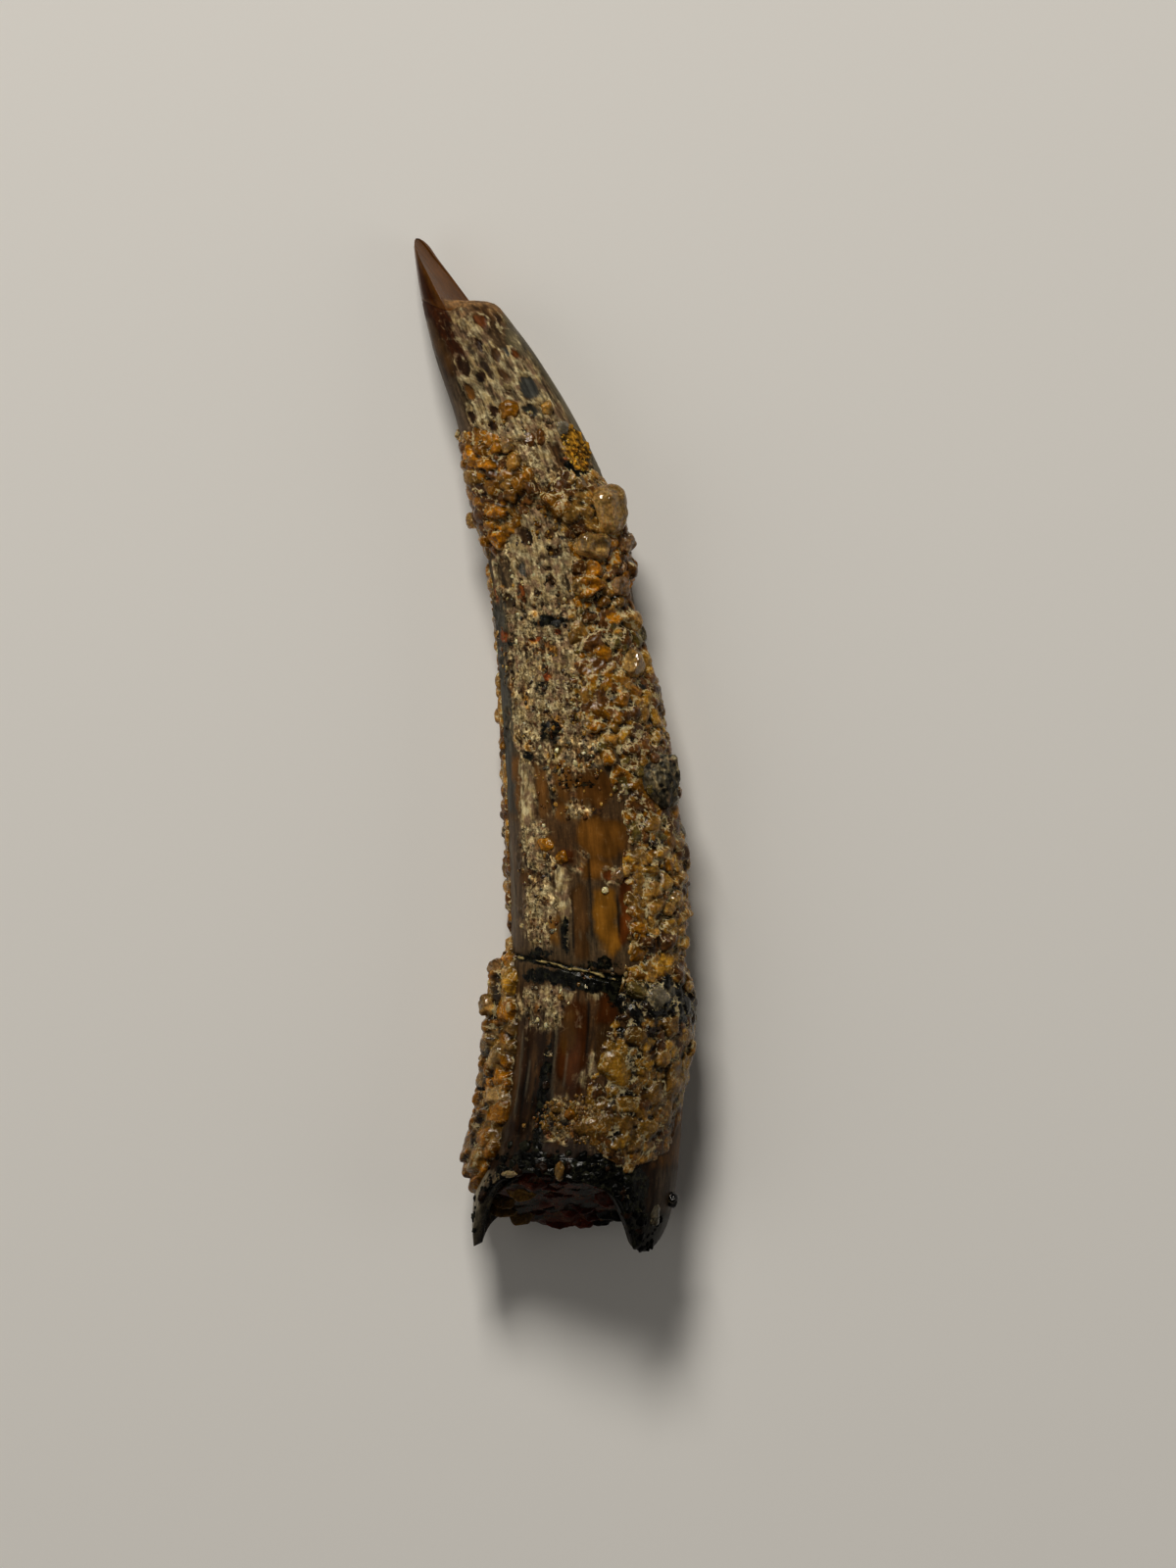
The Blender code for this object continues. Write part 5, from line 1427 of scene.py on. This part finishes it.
def make_nodule(material):
    """The black ironstone pebble."""
    directions, faces = SPHERES[6]
    swell = 1.0 + NODULE_LUMP * noise_at(directions, 2.1)
    for knob, rise in NODULE_KNOBS:
        apart = np.linalg.norm(directions - np.array(knob) / np.linalg.norm(knob), axis=1)
        swell += rise * np.exp(-((apart / NODULE_KNOB_WIDTH) ** 2))
    swell += noises(directions, (2.9, 9.0, 0.09), (6.5, 0.0, 0.06))
    outward = outward_at(np.array(NODULE_ALONG), np.array(NODULE_ANGLE))
    seat = skin(NODULE_ALONG, NODULE_ANGLE, NODULE_LIFT)
    points = seated(directions * swell[:, None], seat, NODULE_RADII, outward)
    fields = plain_fields((len(points),), IRONSTONE, polish=0.55)
    tone = blend(fields["tone"], smooth_step(noise_at(directions, 2.4, 5.0), 0.05, 0.35) * 0.8, OLIVE_GREY)
    scratch = 1.0 - smooth_step(np.abs(noise_at(directions * (1.0, 0.6, 1.0), 3.6, 21.0)), 0.0, 0.06)
    tone = blend(tone, scratch * 0.6, SMOKE)
    fields["tone"] = blend(tone, smooth_step(noise_at(directions, 3.1, 25.0), 0.1, 0.35) * 0.9, GRAIN_BLACK)
    fields["cement"] = -0.42 + 0.55 * noise_at(directions, 4.2, 15.0)
    item = make_mesh("nodule_surface", points, faces.tolist(), fields, [material])
    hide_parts("ironstone_nodule")


def filling_end(points):
    """Places along the tooth of the filling's rough end, by height and width."""
    low, high = FILLING_HEIGHTS
    share = np.clip((points[..., 2] - low) / (high - low), 0.0, 1.0)
    place = np.stack((points[..., 0], points[..., 2], np.full_like(share, 5.0)), axis=-1)
    lump = FILLING_LUMP * (np.abs(noise_at(place, FILLING_LUMP_SCALE)) - 0.5)
    return lerp(FILLING_END_BOTTOM, FILLING_END_TOP, share) + lump


def filling_mouth(angle):
    """Points around the edge of the filling's rough end."""
    edge = cavity(np.full_like(angle, FILLING_END_BOTTOM), angle, FILLING_GAP)
    return cavity(filling_end(edge), angle, FILLING_GAP)


def make_filling(material):
    """The plug of cemented sand in the pulp cavity."""
    angle = np.radians(np.linspace(0, 360, FILLING_COLUMNS, endpoint=False))
    places = CAVITY_PLACES + (ROOT_CLEAN_TOP,)
    rings = [cavity(np.full_like(angle, place), angle, FILLING_GAP) for place in places]
    mouth = filling_mouth(angle)
    rings += [lerp(rings[-1], mouth, share) for share in (0.3, 0.6, 0.8, 1.0)]
    for share in np.linspace(0.97, 0.02, FILLING_RINGS):
        ring = lerp(mouth.mean(axis=0), mouth, share)
        ring[:, 1] = filling_end(ring) - FILLING_LUMP / 2 * min(1.0, (1.0 - share) * 4.0)
        rings.append(ring)
    rings = np.array(rings)
    fields = plain_fields(rings.shape[:2], DARK_RED, cement=-0.4, stain=0.0, polish=0.6)
    fields["cement"] += 0.5 * noise_at(rings, 2.6, 3.0)
    fields["stain"] += 0.5 * noise_at(rings, 1.4, 9.0)
    points, faces, flat = closed_loft(rings, fields)
    item = make_mesh("pulp_plug", points, faces, flat, [material])
    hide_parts("pulp_filling")


def make_pulp_grains(sand):
    """Dark red grains over the filling's rough end."""
    grains = Grains(41)
    chance = grains.chance
    turn, spread = chance.uniform(0.0, 2 * math.pi, PULP_TRIES), np.sqrt(chance.random(PULP_TRIES)) * 0.94
    rim = filling_mouth(turn)
    centre, height, _, _ = section(rim[:, 1])
    places = np.stack((lerp(centre, rim[:, 0], spread), 0 * turn, lerp(height, rim[:, 2], spread)), axis=-1)
    places[:, 1] = filling_end(places) + FILLING_LUMP / 3
    radius = chance.uniform(*PULP_RADII, PULP_TRIES)
    kept, _, _ = free_spots(places, radius, [], [], PULP_SPACING, PULP_GRAINS)
    for index in kept:
        sizes = radius[index] * np.array((0.9, chance.uniform(0.45, 0.65), 0.4))
        colour = PULP_COLOURS[chance.integers(len(PULP_COLOURS))]
        if places[index][0] < PULP_PALE_SIDE:
            colour = OCHRE
        grains.add(places[index], PULP_FACING, sizes, colour, 4, film=-0.1, flats=2, rough=0.7)
    grains.make("pulp_grains", "pulp_filling", "pulp_filling", [sand, sand])


class Look:
    """A material under construction, with short ways to add nodes to it."""

    def __init__(self, name):
        """Start a material with its shader."""
        self.material = bpy.data.materials.new(name)
        self.material.use_nodes = True
        self.tree = self.material.node_tree
        self.shader = self.tree.nodes["Principled BSDF"]

    def wire(self, node, inputs):
        """Set or link a node's inputs."""
        for key, value in inputs.items():
            if isinstance(value, bpy.types.NodeSocket):
                self.tree.links.new(value, node.inputs[key])
            else:
                node.inputs[key].default_value = value
        return node

    def node(self, kind, inputs):
        """A node with its inputs set or linked."""
        return self.wire(self.tree.nodes.new(kind), inputs)

    def field(self, name, output="Fac"):
        """A painted field of the mesh."""
        node = self.tree.nodes.new("ShaderNodeAttribute")
        node.attribute_name = name
        return node.outputs[output]

    def place(self, scale=(1.0, 1.0, 1.0)):
        """The place on the straightened tooth in millimetres, stretched by a scale in each direction."""
        inputs = {"Vector": self.field("place", "Vector"), "Scale": scale}
        return self.node("ShaderNodeMapping", inputs).outputs["Vector"]

    def noise(self, vector, scale, detail=3.0, roughness=0.6):
        """Noise from 0 to 1."""
        inputs = {"Vector": vector, "Scale": scale, "Detail": detail, "Roughness": roughness}
        return self.node("ShaderNodeTexNoise", inputs).outputs["Fac"]

    def math(self, operation, first, second, third=0.0):
        """One sum."""
        node = self.tree.nodes.new("ShaderNodeMath")
        node.operation = operation
        return self.wire(node, {0: first, 1: second, 2: third}).outputs[0]

    def swayed(self, value, noise_value, amount):
        """A number moved up and down by noise."""
        return self.math("MULTIPLY_ADD", self.math("SUBTRACT", noise_value, 0.5), amount, value)

    def ramp(self, value, low, high, to_low=0.0, to_high=1.0):
        """A smooth rise from one value to another."""
        node = self.tree.nodes.new("ShaderNodeMapRange")
        node.interpolation_type = "SMOOTHSTEP"
        inputs = {"Value": value, "From Min": low, "From Max": high, "To Min": to_low, "To Max": to_high}
        return self.wire(node, inputs).outputs[0]

    def mix_number(self, share, first, second):
        """Two numbers mixed by a share."""
        return self.node("ShaderNodeMix", {0: share, 2: first, 3: second}).outputs[0]

    def mix(self, share, first, second, kind="MIX"):
        """Two colours mixed by a share."""
        node = self.tree.nodes.new("ShaderNodeMix")
        node.data_type = "RGBA"
        node.blend_type = kind
        inputs = {0: share}
        for index, colour in ((6, first), (7, second)):
            inputs[index] = colour + (1.0,) if isinstance(colour, tuple) else colour
        return self.wire(node, inputs).outputs[2]

    def scaled(self, colour, value):
        """A colour made lighter or darker by a number."""
        grey = self.node("ShaderNodeCombineColor", {"Red": value, "Green": value, "Blue": value})
        return self.mix(1.0, colour, grey.outputs[0], "MULTIPLY")

    def threads(self, place, scale):
        """Thin threads that cross and branch, from 0 to 1."""
        inputs = {"Vector": place, "Scale": 1.7, "Detail": 3.0}
        warp = self.node("ShaderNodeTexNoise", inputs).outputs["Color"]
        move = self.tree.nodes.new("ShaderNodeVectorMath")
        move.operation = "MULTIPLY_ADD"
        moved = self.wire(move, {0: warp, 1: (0.7, 0.7, 0.7), 2: place}).outputs["Vector"]
        cells = self.tree.nodes.new("ShaderNodeTexVoronoi")
        cells.feature = "DISTANCE_TO_EDGE"
        self.wire(cells, {"Vector": moved, "Scale": scale})
        return self.ramp(cells.outputs["Distance"], 0.02, 0.1, 1.0, 0.0)

    def grit_cells(self, place):
        """Brightness of each tiny cell of grit, warmer where it is dark."""
        cells = self.node("ShaderNodeTexVoronoi", {"Vector": place, "Scale": 7.5}).outputs["Color"]
        level = self.node("ShaderNodeSeparateColor", {"Color": cells}).outputs["Red"]
        return self.mix(self.ramp(level, 0.25, 0.85), (0.42, 0.34, 0.28), (1.9, 1.85, 1.75))

    def bump(self, height, strength=1.0):
        """Fine relief on the shader."""
        inputs = {"Height": height, "Distance": BUMP_DISTANCE * METRES_PER_MM, "Strength": strength}
        self.wire(self.shader, {"Normal": self.node("ShaderNodeBump", inputs).outputs["Normal"]})


def cement_film(look, even, streak, speck, rough_ground):
    """The cement film's share over the ground, and its colour."""
    gritty = look.mix_number(rough_ground, 0.6, 1.4)
    ragged = look.swayed(look.field("cement"), speck, gritty)
    ragged = look.swayed(ragged, streak, 1.1)
    ragged = look.math("MULTIPLY_ADD", look.threads(even, 1.5), 0.28, ragged)
    film = look.mix_number(rough_ground, look.ramp(ragged, -0.5, 0.55), look.ramp(ragged, -0.2, 0.24))
    cream = look.mix(look.ramp(look.noise(even, 3.2), 0.4, 0.62), CREAM, WHITE_CREAM)
    cream = look.mix(look.ramp(look.noise(even, 2.3), 0.42, 0.62), cream, PINKISH)
    dots = look.math("MULTIPLY", look.ramp(look.noise(even, 11.0), 0.5, 0.62, 0.0, 0.8), rough_ground)
    cream = look.scaled(look.mix(dots, cream, BROWN), look.ramp(streak, 0.3, 0.7, 0.45, 1.35))
    cream = look.mix(rough_ground, cream, look.scaled(cream, look.ramp(speck, 0.35, 0.65, 0.6, 1.3)))
    return film, look.scaled(cream, look.field("shade"))


def rock_material(name):
    """Worn enamel under cement film and black stain, by the painted fields."""
    look = Look(name)
    even = look.place()
    streak, speck = look.noise(look.place((1.0, 0.16, 1.0)), 7.0, 4.0), look.noise(even, 7.5, 4.0, 0.62)
    polish, grit = look.field("polish"), look.field("grit_mask")
    dull, rough_ground = look.math("SUBTRACT", 1.15, polish), look.ramp(grit, 0.0, 0.8)
    tone = look.field("tone", "Color")
    tone = look.mix(dull, tone, look.scaled(tone, look.ramp(streak, 0.3, 0.7, 0.45, 1.6)))
    fine = look.math("MULTIPLY", dull, look.mix_number(rough_ground, 0.35, 1.0))
    tone = look.mix(fine, tone, look.scaled(tone, look.ramp(speck, 0.35, 0.65, 0.5, 1.5)))
    gritted = look.mix(1.0, tone, look.grit_cells(even), "MULTIPLY")
    tone = look.mix(look.math("MULTIPLY", grit, 0.8), tone, gritted)
    film, cream = cement_film(look, even, streak, speck, rough_ground)
    black = look.ramp(look.swayed(look.field("stain"), speck, 1.8), -0.22, 0.16)
    stained = look.mix(look.ramp(look.noise(even, 5.0, 4.0), 0.5, 0.62), STAIN_BLACK, STAIN_OLIVE)
    # Painted glints: pale specks in the black stain's colour that stand for tiny highlights.
    painted_glint = look.ramp(look.noise(even, 14.0, 2.0), 0.68, 0.74, 0.0, 0.5)
    gloss = look.math("MULTIPLY", polish, look.math("SUBTRACT", 1.0, film))
    wet = look.math("MULTIPLY_ADD", black, 0.55, gloss)
    look.wire(look.shader, {
        "Base Color": look.mix(black, look.mix(film, tone, cream), look.mix(painted_glint, stained, SMOKE)),
        "Roughness": look.ramp(wet, 0.0, 1.0, 0.75, 0.2),
        "IOR": 1.45,
        "Specular IOR Level": 0.2,
    })
    grained = look.math("MULTIPLY", speck, look.mix_number(rough_ground, 0.3, 1.0))
    look.bump(look.math("MULTIPLY", look.math("MULTIPLY_ADD", streak, 0.6, grained), dull))
    return look.material


def sand_material(name, transmission, roughness, subsurface, relief, gloss):
    """Translucent quartz sand, its colour by grain, with pale film in its hollows."""
    look = Look(name)
    even = look.place()
    cloud, speck = look.noise(even, 2.6), look.noise(even, 9.0, 4.0, 0.7)
    tone = look.scaled(look.field("tone", "Color"), look.ramp(cloud, 0.3, 0.7, 0.6, 1.45))
    tone = look.scaled(tone, look.ramp(speck, 0.3, 0.7, 0.6, 1.45))
    ragged = look.swayed(look.swayed(look.field("film"), speck, 0.8), cloud, 1.0)
    ragged = look.math("MULTIPLY_ADD", look.threads(even, 2.1), 0.24, ragged)
    dust = look.ramp(ragged, 0.33, 0.53, 0.0, 0.9)
    pale = look.scaled(look.mix(look.ramp(speck, 0.4, 0.62), CREAM, WHITE_CREAM), look.field("shade"))
    look.wire(look.shader, {
        "Base Color": look.mix(dust, tone, pale),
        "Roughness": look.ramp(dust, 0.0, 0.7, roughness, 0.75),
        "Transmission Weight": transmission,
        "Subsurface Weight": subsurface,
        "Subsurface Radius": (1.0, 0.5, 0.2),
        "Subsurface Scale": SUBSURFACE_SCALE * METRES_PER_MM,
        "IOR": 1.54,
        "Specular IOR Level": gloss,
    })
    look.bump(look.math("MULTIPLY_ADD", dust, 0.5, speck), relief)
    return look.material


def make_floor():
    """The plain pale matt floor that the tooth lies on."""
    look = Look("floor")
    look.wire(look.shader, {"Base Color": FLOOR_COLOUR, "Roughness": 0.9})
    half, down = FLOOR_SIZE / 2 * METRES_PER_MM, -FLOOR_GAP * METRES_PER_MM
    corners = [(-half, -half, down), (half, -half, down), (half, half, down), (-half, half, down)]
    mesh = bpy.data.meshes.new("floor")
    mesh.from_pydata(corners, [], [(0, 1, 2, 3)])
    mesh.materials.append(look.material)
    floor = bpy.data.objects.new("floor", mesh)
    bpy.context.scene.collection.objects.link(floor)


def make_lights():
    """Soft studio light, mostly from beyond the tip."""
    for name, place, width, power in LIGHTS:
        data = bpy.data.lights.new(name, "AREA")
        data.size = width * METRES_PER_MM
        data.energy = power
        data.color = LIGHT_COLOUR
        light = bpy.data.objects.new(name, data)
        light.location = Vector(place) * METRES_PER_MM
        light.rotation_mode = "QUATERNION"
        light.rotation_quaternion = (-light.location).to_track_quat("-Z", "Y")
        bpy.context.scene.collection.objects.link(light)
    world = bpy.data.worlds.new("studio")
    world.use_nodes = True
    world.node_tree.nodes["Background"].inputs["Color"].default_value = WORLD_COLOUR
    world.node_tree.nodes["Background"].inputs["Strength"].default_value = WORLD_STRENGTH
    bpy.context.scene.world = world


def set_view():
    """Show colours as they are lit, with somewhat more contrast."""
    bpy.context.scene.view_settings.view_transform = "Standard"
    bpy.context.scene.view_settings.look = "Medium High Contrast"


def make_camera():
    """A long lens straight above the tooth, with its tip at the top of the picture."""
    data = bpy.data.cameras.new("camera")
    data.lens = CAMERA_LENS
    camera = bpy.data.objects.new("camera", data)
    camera.location = Vector((*CAMERA_PLACE, CAMERA_HEIGHT)) * METRES_PER_MM
    bpy.context.scene.collection.objects.link(camera)
    bpy.context.scene.camera = camera


def build():
    """Dress the frame."""
    set_view()
    make_camera()
    make_floor()
    make_lights()
    rock = rock_material("weathered_tooth")
    sand, clear_sand, black_cement, red_sand = [sand_material(*finish) for finish in SANDS]
    make_tooth(rock)
    for crust in CRUSTS:
        make_crust(sand, clear_sand, *crust)
    make_grit(sand, clear_sand)
    make_rim_lumps(black_cement)
    make_nodule(rock)
    make_filling(rock)
    make_pulp_grains(red_sand)


build()
